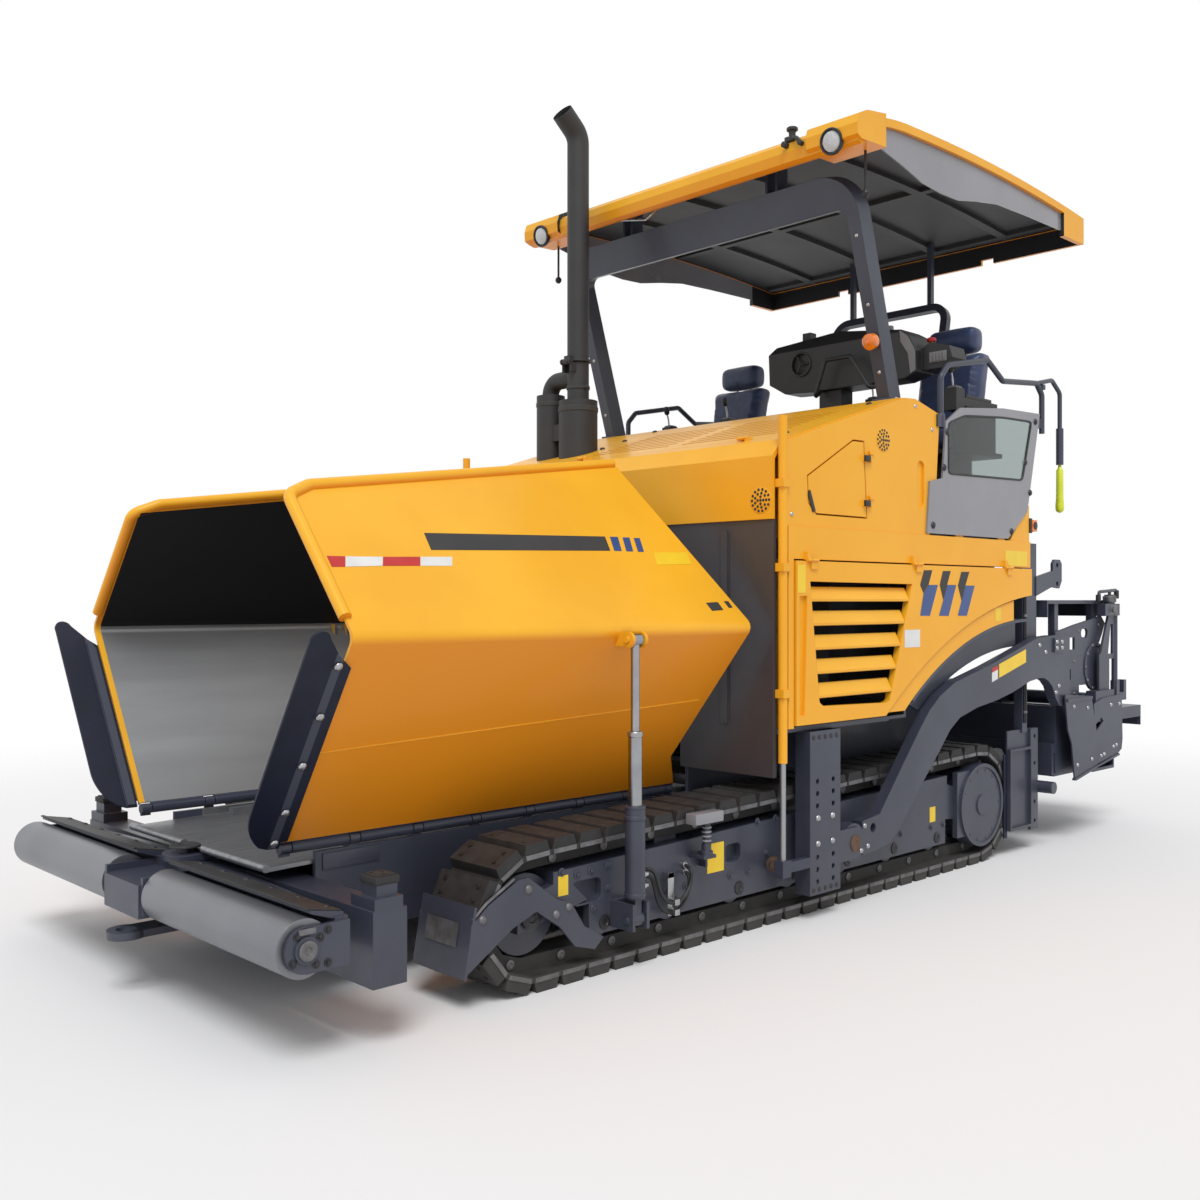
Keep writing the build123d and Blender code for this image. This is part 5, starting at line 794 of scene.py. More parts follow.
# gives points of the loop at the shoes' inner face with their outward direction
def beltWalk(look):
    x1, r1 = look["sprocket"][0], look["sprocket"][1] - look["pad"]
    x2, r2 = look["idler"][0], look["idler"][1] - look["pad"]
    z1, z2 = look["sprocket"][1], look["idler"][1]
    span = math.hypot(x2 - x1, z2 - z1)

    def tangent(dx, dz, fall):
        along = fall / span
        across = math.sqrt(1 - along * along)
        return math.atan2(dz / span * along - dx / span * across, dx / span * along + dz / span * across)

    low = tangent(x2 - x1, z2 - z1, r1 - r2)
    high = tangent(x1 - x2, z1 - z2, r2 - r1)
    straight = math.sqrt(span ** 2 - (r1 - r2) ** 2)
    front = r2 * (high - low)
    total = 2 * straight + front + r1 * (2 * math.pi - high + low)

    def at(travel):
        travel = travel % total
        if travel < straight:
            wheelX, wheelZ, radius, angle, along = x1, z1, r1, low, travel
        elif travel < straight + front:
            wheelX, wheelZ, radius, angle, along = x2, z2, r2, low + (travel - straight) / r2, 0
        elif travel < 2 * straight + front:
            wheelX, wheelZ, radius, angle, along = x2, z2, r2, high, travel - straight - front
        else:
            wheelX, wheelZ, radius, angle, along = x1, z1, r1, high + (travel - 2 * straight - front) / r1, 0
        x = wheelX + radius * math.cos(angle) - along * math.sin(angle)
        z = wheelZ + radius * math.sin(angle) + along * math.cos(angle)
        return Vector((x, 0, z)), Vector((math.cos(angle), 0, math.sin(angle)))

    return at, total / look["shoes"]


def makeShoes(look):
    at, pitch = beltWalk(look)
    middle = look["outerY"] - look["width"] / 2
    half = look["width"] / 2 + look["proud"]
    plates, bolts, pins = [], [], []
    for shoe in range(look["shoes"]):
        ends = [at((shoe + share) * pitch) for share in look["plateSpan"]]
        outline = [ends[0][0], ends[1][0], *(spot - away * look["plate"] for spot, away in ends[::-1])]
        outline = [point + Vector((0, middle - half, 0)) for point in outline]
        plates.append((addPlate, outline, (0, 2 * half, 0), look["plateSoft"]))
        spot, away = at((shoe + 0.5) * pitch)
        along = Vector((-away.z, 0, away.x))
        for shift in look["boltAlong"]:
            for across in look["boltAcross"]:
                place = spot + Vector((0, middle + across, 0)) + along * shift
                bolts.append((place + away * (look["pad"] - look["boltSunk"]), tuple(away), 0.0))
        if shoe % look["pinEvery"] == 0:
            place = spot + Vector((0, middle + look["pinAcross"], 0)) - away * look["pinDeep"]
            pins.append((place, out, 0.0))
    makePieces({"shoePlates": ("shoeSteel", "tractor", "steel", "each", plates)})
    makeRepeats({
        "padBolts": ("flatBolt", "darkSteel", "tractor", "iron", "each", look["boltSize"], bolts),
        "chainPins": ("ringPin", "shoeSteel", "tractor", "steel", "each", look["pinSize"], pins),
    })


makeShoes(crawlerLook)
print("crawlers done")

# Signs, stripes and reflectors: thin plates on the paint, all of them blank

signLook = {"lift": 0.0005, "thick": 0.0012}
wingSheet = {"away": (0, 0.755, 0.6556), "crease": (1.155, 1.435)}


def flatPair(name, loops, away, finish, body, slot):
    for side, mirror in sides:
        outward = Vector((away[0], mirror * away[1], away[2])).normalized()
        shape = bmesh.new()
        for loop in loops:
            outline = [Vector((x, mirror * y, z)) + outward * signLook["lift"] for x, y, z in loop]
            addPlate(shape, outline, outward * signLook["thick"])
        finishPiece(shape, name + "_" + side, finish, body.replace("*", side), slot)


def oblong(x, z):
    return [(x[0], z[0]), (x[1], z[0]), (x[1], z[1]), (x[0], z[1])]


wingMarks = {
    # name: finish, loops of x and y on the upper sheet
    "wingBand": ("charcoalPaint", [[(2.37, 0.811), (1.35, 0.791), (1.372, 0.849), (2.379, 0.871)]]),
    "wingDashes": ("stripeBlue", [
        [(1.318, 0.791), (1.266, 0.79), (1.298, 0.848), (1.346, 0.849)],
        [(1.236, 0.791), (1.190, 0.79), (1.224, 0.848), (1.268, 0.849)],
        [(1.162, 0.791), (1.122, 0.79), (1.152, 0.848), (1.192, 0.849)],
    ]),
    "wingLabel": ("signYellow", [[(1.090, 0.85), (0.850, 0.843), (0.875, 0.894), (1.120, 0.901)]]),
    # the slots are charcoal plates: painted shade inside the slots
    "wingSlots": ("charcoalPaint", [
        [(0.951, 1.054), (0.865, 1.051), (0.862, 1.083), (0.945, 1.086)],
        [(0.818, 1.048), (0.786, 1.047), (0.783, 1.073), (0.812, 1.075)],
    ]),
    "wingNotch": ("charcoalPaint", [[(1.726, 0.533), (1.632, 0.527), (1.647, 0.545), (1.737, 0.546)]]),
    "wingRed": ("signRed", [
        [(2.868, 0.903), (2.791, 0.903), (2.812, 0.937), (2.868, 0.938)],
        [(2.623, 0.901), (2.451, 0.897), (2.473, 0.928), (2.644, 0.931)],
    ]),
    "wingWhite": ("signWhite", [
        [(2.789, 0.903), (2.625, 0.901), (2.646, 0.931), (2.810, 0.937)],
        [(2.449, 0.897), (2.294, 0.894), (2.318, 0.926), (2.471, 0.928)],
    ]),
}
sideMarks = {
    # name: finish, body, slot, y, loops of x and z
    "stripesDark": ("charcoalPaint", "louvre_door_*", "charcoal", 1.245, [
        [(-0.616, 1.726), (-0.700, 1.728), (-0.662, 1.649), (-0.610, 1.603), (-0.578, 1.646)],
        [(-0.811, 1.725), (-0.893, 1.727), (-0.855, 1.651), (-0.814, 1.567), (-0.778, 1.648)],
        [(-1.009, 1.724), (-1.095, 1.725), (-1.052, 1.649), (-1.009, 1.564), (-0.971, 1.645)],
    ]),
    "stripesBlue": ("stripeBlue", "louvre_door_*", "plastic", 1.245, [
        [(-0.664, 1.647), (-0.758, 1.648), (-0.675, 1.479), (-0.578, 1.480), (-0.612, 1.601)],
        [(-0.857, 1.649), (-0.951, 1.649), (-0.871, 1.477), (-0.769, 1.478), (-0.816, 1.565)],
        [(-1.054, 1.647), (-1.154, 1.647), (-1.068, 1.476), (-0.968, 1.477), (-1.011, 1.562)],
    ]),
    "beltSign": ("signYellow", "tractor", "plastic", 1.235, [oblong((-1.53, -1.8), (1.77, 1.86))]),
    "lipSign": ("signYellow", "tractor", "plastic", 1.233, [oblong((-1.415, -1.48), (1.44, 1.52))]),
    "pillarSign": ("signYellow", "louvre_door_*", "plastic", 1.245, [oblong((0.507, 0.445), (1.60, 1.735))]),
    "doorPlate": ("signWhite", "louvre_door_*", "plastic", 1.245, [oblong((-0.425, -0.575), (1.312, 1.406))]),
    "armSign": ("signYellow", "screed", "plastic", 1.228,
                [[(-1.47, 1.105), (-1.80, 1.185), (-1.80, 1.265), (-1.47, 1.185)]]),
    "armTag": ("signWhite", "screed", "plastic", 1.228,
               [[(-1.385, 1.083), (-1.455, 1.10), (-1.455, 1.155), (-1.385, 1.138)]]),
    "armTagTop": ("signRed", "screed", "plastic", 1.228,
                  [[(-1.385, 1.139), (-1.455, 1.156), (-1.455, 1.180), (-1.385, 1.163)]]),
    "sideSign": ("signYellow", "screed", "plastic", 1.160, [oblong((-2.41, -2.50), (1.13, 1.22))]),
    "beamSignFront": ("signYellow", "tractor", "plastic", 1.090, [oblong((1.905, 1.85), (0.355, 0.437))]),
    "beamSignMiddle": ("signYellow", "tractor", "plastic", 1.090, [oblong((0.985, 0.868), (0.305, 0.44))]),
    "driveSign": ("signYellow", "tractor", "plastic", 1.090, [oblong((-0.93, -0.99), (0.30, 0.385))]),
}


def makeSigns():
    slope = wingSheet["away"][1] / wingSheet["away"][2]
    creaseY, creaseZ = wingSheet["crease"]
    for name, (finish, loops) in wingMarks.items():
        loops = [[(x, y, creaseZ + (creaseY - y) * slope) for x, y in loop] for loop in loops]
        flatPair(name, loops, wingSheet["away"], finish, "wing_*", "plastic")
    for name, (finish, body, slot, y, loops) in sideMarks.items():
        flatPair(name, [[(x, y, z) for x, z in loop] for loop in loops], out, finish, body, slot)


makeSigns()
print("signs and stripes done")

# Front: push beam, end blocks, pivot and the bolts along the aprons' strips

hubCentre = (3.15, 1.252, 0.415)
apronStrip = {
    "foot": (2.945, 0.62, 0.62),
    "along": (0, 0.549, 0.836),
    "away": (0, 0.836, -0.549),
    "lift": 0.0178,
    "reaches": (0.863, 0.642, 0.42, 0.199, 0.05),
}


def stripPlaces(look):
    along, away = Vector(look["along"]), Vector(look["away"])
    foot = Vector(look["foot"]) + away * look["lift"]
    return [(foot + along * reach, look["away"], 0.0) for reach in look["reaches"]]


makePieces({
    "blockPads": ("padRubber", "tractor", "rubber", "both", [
        (addBox, (2.772, 1.126, 0.5785), (2.872, 1.229, 0.604), 0.005),
        (addBox, (2.782, 1.136, 0.604), (2.862, 1.219, 0.609), 0.002),
    ]),
    "scraperPlates": ("charcoalPaint", "push_beam", "charcoal", "both", [
        (addPlate, [(2.999, 0.158, 0.5125), (3.124, 0.158, 0.5367), (3.124, 0.158, 0.5415),
                    (2.999, 0.158, 0.5175)], (0, 1.055, 0), 0.001),
        (addBox, (3.118, 0.158, 0.5375), (3.132, 1.213, 0.5445), 0.002),
    ]),
    "rollerHubs": ("shoeSteel", "push_beam", "steel", "both", [
        (addTurned, [(0, 0.034), (0.006, 0.034), (0.008, 0.030), (0.008, 0.014), (0.004, 0.012)],
         hubCentre, out),
        (addBox, (3.118, 1.2445, 0.468), (3.182, 1.2525, 0.488), 0.003),
    ]),
    "pivotCap": ("charcoalPaint", "tractor", "charcoal", "one", [
        (addTurned, [(0, 0.062), (0.006, 0.062), (0.009, 0.058), (0.009, 0.03), (0.006, 0.028)],
         (2.985, 0, 0.5525), up, 32),
    ]),
    "sidePlates": ("slatePaint", "tractor", "slate", "both", [
        (addBox, (2.46, 0.6265, 0.515), (2.72, 0.632, 0.578), 0.002),
    ]),
    "wingSeam": ("yellowPaint", "wing_*", "yellow", "each", [
        (addTube, [(2.88, 0.8745, 1.006), (0.86, 0.9285, 1.088)], 0.0035, 8),
    ]),
})
makeRepeats({
    "padScrews": ("ringPin", "darkSteel", "tractor", "iron", "both", 0.008,
                  [((x, y, 0.609), up, 0.0) for x, y in ((2.80, 1.155), (2.845, 1.155), (2.82, 1.2))]),
    "scraperBolts": ("domeBolt", "darkSteel", "push_beam", "iron", "both", 0.009,
                     row((3.02, 0.22, 0.5205), (3.02, 1.15, 0.5205), 6, (-0.19, 0, 0.98))),
    "rollerBolts": ("hexBolt", "darkSteel", "push_beam", "iron", "both", 0.0085,
                    ring((3.15, 1.244, 0.415), 0.062, 4, out, 0.6)
                    + onSide(1.244, ((3.07, 0.47), (3.07, 0.36)))),
    "beamBolts": ("ringPin", "slatePaint", "tractor", "slate", "both", 0.014,
                  onSide(1.132, ((2.72, 0.355), (2.72, 0.30)))
                  + row((2.50, 0.626, 0.545), (2.68, 0.626, 0.545), 3, out)),
    "apronBolts": ("domeBolt", "boltSteel", "wing_*", "steel", "each", 0.0115, stripPlaces(apronStrip)),
})

# Wing cylinders: collars, unions and the fixed lines at the foot

liftX, liftY = 1.56, 1.192
unionProfile = [(0, 0.013), (0.016, 0.013), (0.017, 0.009), (0.032, 0.009)]


def collar(low, high, radius, bevel=0.003, bore=0.0405):
    tall = high - low
    profile = [(0, radius - bevel), (bevel, radius), (tall - bevel, radius), (tall, radius - bevel)]
    return addTurned, profile, (liftX, liftY, low), up, 28, bore


def footLine(lift, y, bottom):
    route = [(1.43, 1.112, 0.372 + lift), (1.40, y, 0.365 + lift), (1.36, y, bottom + 0.05), (1.31, y, bottom),
             (1.22, y, bottom), (1.165, y, bottom + 0.06), (1.155, y, 0.33 + lift), (1.15, 1.1, 0.345 + lift)]
    return addTube, bent(route, 0.035, 4), 0.0085, 10


makePieces({
    "barrelRings": ("slatePaint", "wing_barrel_*", "slate", "each", [
        collar(0.640, 0.660, 0.0465), collar(0.686, 0.7, 0.0455), collar(0.315, 0.335, 0.0465),
    ]),
    "barrelUnions": ("boltSteel", "wing_barrel_*", "steel", "each", [
        (addTurned, unionProfile, (liftX - 0.042, liftY, z), (-1, 0, 0), 12) for z in (0.352, 0.40)
    ]),
    "stageRing": ("boltSteel", "wing_stage_*", "steel", "each", [
        (addTurned, [(0, 0.031), (0.004, 0.034), (0.02, 0.034), (0.024, 0.031)], (liftX, liftY, 0.988),
         up, 24, 0.0275),
    ]),
    "footLines": ("hoseRubber", "tractor", "rubber", "both", [
        footLine(0.0, 1.137, 0.19), footLine(0.03, 1.152, 0.235),
    ]),
    "lineClamps": ("boltSteel", "tractor", "steel", "both", [
        *((addBox, (1.249, 1.124, z - 0.013), (1.281, 1.164, z + 0.013), 0.003) for z in (0.19, 0.235)),
        (addBox, (1.245, 1.119, 0.17), (1.285, 1.125, 0.36), 0.002),
        (addBox, (1.245, 1.088, 0.335), (1.285, 1.125, 0.36), 0.002),
        *((addTurned, [(0, 0.014), (0.024, 0.014), (0.026, 0.010), (0.03, 0.010)], (1.43, 1.0885, z), out, 12)
          for z in (0.372, 0.402)),
        *((addTurned, [(0, 0.014), (0.016, 0.014), (0.018, 0.010), (0.022, 0.010)], (1.15, 1.0885, z), out, 12)
          for z in (0.345, 0.375)),
    ]),
})

# Crawler frames: guards, bolts, height sensor and mud strips

rollerX = [-1.01 + place * 0.441667 for place in range(7)]
patchSlant = Vector((0.9816, 0, 0.1904))
patchCorners = ((2.4015, 0.86, 0.24), (2.4015, 1.06, 0.24), (2.3845, 1.06, 0.33), (2.3845, 0.86, 0.33))
sensorFoot = (1.067, 1.158)

makeRepeats({
    "frameBolts": ("hexBolt", "slatePaint", "tractor", "slate", "both", 0.0105,
                   onSide(1.09, [(x + shift, 0.272) for x in rollerX for shift in (-0.065, 0.065)], 0.3)
                   + onSide(1.09, ((1.885, 0.452), (1.80, 0.43), (1.72, 0.435), (1.62, 0.44), (1.62, 0.345),
                                   (0.62, 0.50), (0.48, 0.50), (0.55, 0.34)), 0.2)),
    "rollerCaps": ("ringPin", "darkSteel", "tractor", "iron", "both", 0.032,
                   onSide(1.086, [(x, 0.204) for x in rollerX])),
    "idlerCaps": ("ringPin", "darkSteel", "tractor", "iron", "both", 0.052, onSide(1.086, [(2.05, 0.300)])),
    "coverBolts": ("flatBolt", "slatePaint", "tractor", "slate", "both", 0.009,
                   ring((-1.45, 1.128, 0.346), 0.205, 14, out)),
    "guardBolts": ("domeBolt", "shoeSteel", "tractor", "steel", "both", 0.0125,
                   onSide(1.136, ((2.10, 0.425), (1.955, 0.30), (2.33, 0.345), (1.885, 0.318)))),
})
makePieces({
    "guardRods": ("shoeSteel", "tractor", "steel", "both", [
        (addTube, [(2.375, 1.130, 0.352), (2.31, 1.130, 0.402), (2.17, 1.130, 0.475)], 0.006, 8),
    ]),
    "guardPatches": ("shoeSteel", "tractor", "steel", "both", [
        (addPlate, [Vector(corner) + patchSlant * 0.0005 for corner in patchCorners], patchSlant * 0.003),
    ]),
    "sensorPost": ("slatePaint", "tractor", "slate", "one", [
        (addBox, (1.025, 1.0885, 0.40), (1.11, 1.182, 0.416), 0.003),
        (addBox, (1.025, 1.0885, 0.35), (1.04, 1.13, 0.402), 0.003),
        (addTurned, [(0, 0.03), (0.02, 0.03), (0.024, 0.022), (0.05, 0.022), (0.052, 0.017), (0.15, 0.017)],
         (*sensorFoot, 0.414), up, 20),
    ]),
    "sensorHead": ("smokedPlate", "tractor", "smoked", "one", [
        *((addTurned, [(0, 0.018), (0.003, 0.024), (0.007, 0.024), (0.010, 0.018)],
           (*sensorFoot, 0.475 + level * 0.02), up, 20) for level in range(4)),
        (addBox, (0.985, 1.128, 0.562), (1.175, 1.192, 0.612), 0.006),
    ]),
    "mudStrips": ("flapRubber", "tractor", "rubber", "both", [
        (addBox, (-1.742, 1.1275, 0.11), (-1.703, 1.1375, 0.62), 0.002),
    ]),
})

# Tow columns and tow arms

makeRepeats({
    "columnBolts": ("domeBolt", "boltSteel", "tractor", "steel", "both", 0.011,
                    onSide(1.24, [(x, z) for x in (0.335, 0.215) for z in (0.50, 0.375)])),
    # the holes are charcoal dots: painted shade inside the holes
    "columnHoles": ("hexDot", "charcoalPaint", "tractor", "charcoal", "both", 0.012,
                    row((0.18, 1.24, 0.152), (0.37, 1.24, 0.152), 5, out)
                    + row((0.18, 1.24, 0.895), (0.37, 1.24, 0.895), 5, out)),
    "armBolts": ("domeBolt", "boltSteel", "screed", "steel", "both", 0.0095,
                 onSide(1.228, ((-0.082, 0.408), (-0.11, 0.301), (-0.05, 0.285), (-1.98, 1.285), (-2.06, 1.24),
                                (-2.20, 0.98), (-2.24, 1.02)))
                 + onSide(1.24, ((-2.19, 1.262), (-2.19, 1.30), (-2.26, 1.262), (-2.26, 1.30)))),
})
makePieces({
    "towCaps": ("rustySteel", "tractor", "iron", "both", [
        (addTurned, [(0, 0.044), (0.004, 0.044), (0.006, 0.040), (0.006, 0.016), (0.003, 0.014)],
         (0.02, 1.24, 0.335), out, 28),
    ]),
    "levelBall": ("rustySteel", "tractor", "iron", "one", [
        (addTurned, [(0, 0.012), (0.03, 0.02), (0.034, 0.036), (0.062, 0.036), (0.066, 0.026), (0.078, 0.02)],
         (0.58, 1.150, 0.290), (-0.35, -0.2, 0), 20),
    ]),
})
print("front, tracks and tow points done")

# Bodywork: vents, latches, buttons, side lamps and the pipes down the rear posts

ventRings = ((0.052, 14), (0.034, 9), (0.017, 4), (0.0, 1))  # radius and number of holes
ventPlate = [(0, 0.064), (0.0015, 0.064), (0.002, 0.062)]
hoodSlope = {"away": (0.296, 0, 0.955), "start": (0.56, 2.335), "fall": 0.313 / 1.01}
latchOutline = ((0.345, 2.0), (0.365, 1.992), (0.402, 2.07), (0.398, 2.095), (0.388, 2.10), (0.372, 2.065))


def ventPlaces(centre, aim):
    return [place for radius, count in ventRings for place in ring(centre, radius, count, aim)]


def hoodPlaces(spots):
    startX, startZ = hoodSlope["start"]
    away = tuple(Vector(hoodSlope["away"]).normalized())
    return [((x, y, startZ + (startX - x) * hoodSlope["fall"]), away, 0.0) for x, y in spots]


makeRepeats({
    # the vents' holes are charcoal dots: painted shade inside the holes
    "sideVents": ("hexDot", "charcoalPaint", "tractor", "charcoal", "both", 0.0072,
                  ventPlaces((-0.25, 1.2286, 2.40), out)),
    "frontVents": ("hexDot", "charcoalPaint", "tractor", "charcoal", "both", 0.0072,
                   ventPlaces((0.6416, 1.128, 2.041), ahead)),
    "panelBolts": ("domeBolt", "boltSteel", "tractor", "steel", "both", 0.008,
                   onSide(1.227, ((-0.56, 2.61), (-0.735, 2.0), (0.53, 1.975), (-0.73, 2.5)))),
    "hoodButtons": ("domeBolt", "mouldedPlastic", "tractor", "plastic", "one", 0.012,
                    hoodPlaces(((-0.13, -0.56), (0.10, -0.52), (-0.40, -0.56), (0.38, 1.08), (-0.34, 1.08)))),
})
makePieces({
    "ventPlates": ("yellowPaint", "tractor", "yellow", "both", [
        (addTurned, ventPlate, (-0.25, 1.2265, 2.40), out, 40),
        (addTurned, ventPlate, (0.6395, 1.128, 2.041), ahead, 40),
    ]),
    "latches": ("mouldedPlastic", "service_door_*", "plastic", "each", [
        *((addBox, (-0.110, 1.2285, z - 0.0155), (-0.062, 1.2475, z + 0.0155), 0.003) for z in (2.06, 2.29)),
        (addPlate, [(x, 1.227, z) for x, z in latchOutline], (0, 0.006, 0), 0.0015),
    ]),
    "recessFloor": ("yellowPaint", "tractor", "yellow", "both", [
        (addBox, (-0.649, 1.2132, 2.062), (-0.581, 1.2145, 2.318), 0.0),
    ]),
    "sideLamps": ("amberLens", "tractor", "glass", "both", [
        (addBox, (-1.925, 1.196, 1.984), (-1.862, 1.243, 2.058), 0.009),
    ]),
    "sideLampBacks": ("mouldedPlastic", "tractor", "plastic", "both", [
        (addBox, (-1.870, 1.205, 1.975), (-1.842, 1.236, 2.066), 0.004),
        (addTurned, [(0, 0.024), (0.003, 0.024), (0.004, 0.012)], (-1.893, 1.243, 2.021), out, 20),
    ]),
    "postPipes": ("hoseRubber", "tractor", "rubber", "both", [
        (addTube, [(x, 1.154, 0.80), (x, 1.154, 1.72)], 0.005, 10) for x in (-1.928, -1.946)
    ]),
    "postClamps": ("shoeSteel", "tractor", "steel", "both", [
        (addBox, (-1.956, 1.1475, z), (-1.918, 1.1605, z + 0.016), 0.002) for z in (0.86, 1.16, 1.46, 1.68)
    ]),
})

# Canopy and exhaust: lamps, horn, beacon, handle, pull rods and silencer bands

lampFoot, lampAim = (0.022, 1.125, 3.915), (1, 0, -0.25)
archAway = (0.956, 0, -0.292)
archLine = {"start": (-0.56 + 0.0575, 2.6485), "lean": 0.3057}
beaconFoot = (-0.4075, 1.067, 2.966)


def archPlaces(heights):
    startX, startZ = archLine["start"]
    return [((startX + (z - startZ) * archLine["lean"], 1.067, z), archAway, 0.0) for z in heights]


makePieces({
    "lampBezels": ("mouldedPlastic", "tractor", "plastic", "both", [
        (addTurned, [(0, 0.045), (0.03, 0.066), (0.045, 0.068), (0.052, 0.066), (0.052, 0.057), (0.040, 0.055)],
         lampFoot, lampAim, 36),
    ]),
    "lampLenses": ("lampLens", "tractor", "glass", "both", [
        (addTurned, [(0.030, 0.02), (0.038, 0.054), (0.047, 0.052), (0.056, 0.036), (0.059, 0.012)],
         lampFoot, lampAim, 32),
    ]),
    "horn": ("charcoalPaint", "tractor", "charcoal", "one", [
        (addBox, (0.0, 0.815, 3.985), (0.052, 0.875, 4.012)),
        (addTurned, [(0, 0.017), (0.035, 0.019), (0.04, 0.03), (0.052, 0.03), (0.056, 0.026)],
         (0.022, 0.845, 4.008), up, 20),
        (addTube, bent([(0.045, 0.87, 4.0), (0.064, 0.905, 3.985), (0.064, 0.93, 3.955)], 0.02, 3), 0.011, 10),
        (addTurned, [(0, 0.016), (0.03, 0.016), (0.034, 0.012)], (0.050, 0.83, 3.965), ahead, 16),
        (addTurned, [(0, 0.013), (0.026, 0.013), (0.03, 0.01)], (0.050, 0.93, 3.950), ahead, 16),
    ]),
    "beacon": ("amberLens", "tractor", "glass", "one", [
        (addTurned, [(0, 0.030), (0.012, 0.030), (0.016, 0.044), (0.05, 0.044), (0.058, 0.036), (0.062, 0.014)],
         beaconFoot, archAway, 28),
        (addTurned, [(0.06, 0.012), (0.07, 0.012), (0.072, 0.008)], beaconFoot, archAway, 12),
    ]),
    "frontHandle": ("boltSteel", "tractor", "steel", "one", [
        (addTube, bent([(-0.08, -0.716, 3.945), (-0.08, -0.319, 3.862), (-0.08, -0.22, 3.915)], 0.02, 3),
         0.009, 10),
        (addTurned, [(0, 0.012), (0.04, 0.012), (0.045, 0.009)], (-0.08, -0.716, 3.945), (0, 0.979, -0.2), 12),
        (addTube, [(-0.08, -0.71, 3.94), (-0.08, -0.71, 4.03)], 0.007, 8),
        (addTube, [(-0.08, -0.224, 3.912), (-0.08, -0.224, 4.03)], 0.007, 8),
    ]),
    "pullRods": ("darkSteel", "tractor", "iron", "both", [
        (addTube, [(-0.143, 1.19, 4.02), (-0.143, 1.19, 3.69)], 0.007, 8),
        (addTurned, [(0, 0.008), (0.008, 0.017), (0.022, 0.022), (0.036, 0.016), (0.042, 0.006)],
         (-0.143, 1.19, 3.65), up, 16),
    ]),
    "silencerBands": ("castIron", "tractor", "iron", "one", [
        (addTurned, [(0, 0.066), (0.002, 0.0715), (0.02, 0.0715), (0.022, 0.066)], (0.19, -0.64, 2.84), up, 32),
        (addBox, (0.185, -0.575, 2.842), (0.205, -0.548, 2.86), 0.003),
        (addTurned, [(0, 0.118), (0.004, 0.122), (0.03, 0.122), (0.034, 0.118)], (0.19, -0.64, 2.70), up, 40),
        (addTurned, [(0, 0.088), (0.004, 0.0915), (0.026, 0.0915), (0.03, 0.088)], (0.19, -0.89, 2.76), up, 36),
    ]),
})
makeRepeats({
    "archBolts": ("domeBolt", "boltSteel", "tractor", "steel", "both", 0.0075,
                  archPlaces((2.80, 3.15, 3.50)) + [((x, 1.125, 2.6645), up, 0.0) for x in (-0.53, -0.60)]),
})
print("bodywork and canopy done")

# Platform: console, armrests, side screens and rails

consoleFace = {"start": (-0.940, 2.850), "lean": 0.0556}
consoleOutline = ((0.900, 3.128), (0.952, 3.088), (0.996, 3.000), (0.996, 2.886), (0.962, 2.872),
                  (0.950, 2.990), (0.905, 3.060))
dialCentre = Vector((-0.930, 0.19, 3.03))
dialSpoke = 0.06
dialSpokeTurns = (0.0, 2.1, 4.2)
armY = (0.58, 1.12)
windowOutline = ((-0.880, 2.270), (-0.880, 2.550), (-1.060, 2.610), (-1.500, 2.645), (-1.850, 2.655),
                 (-1.735, 2.290))
sealLook = {"y": 1.2385, "corner": 0.03, "inset": 0.007, "radius": 0.0065}


def facePoint(y, z):
    return consoleFace["start"][0] + (z - consoleFace["start"][1]) * consoleFace["lean"], y, z


def spoke(turn):
    return addTube, [dialCentre, dialCentre + dialSpoke * Vector((0, math.cos(turn), math.sin(turn)))], 0.006, 8


def sealRun(look):
    loop = [Vector((x, look["y"], z)) for x, z in windowOutline]
    run = []
    reach, inset = look["corner"], look["inset"]
    for place, corner in enumerate(loop):
        before = (loop[place - 1] - corner).normalized()
        after = (loop[(place + 1) % len(loop)] - corner).normalized()
        run += [corner + before * reach, corner + (before + after) * inset, corner + after * reach]
    return run


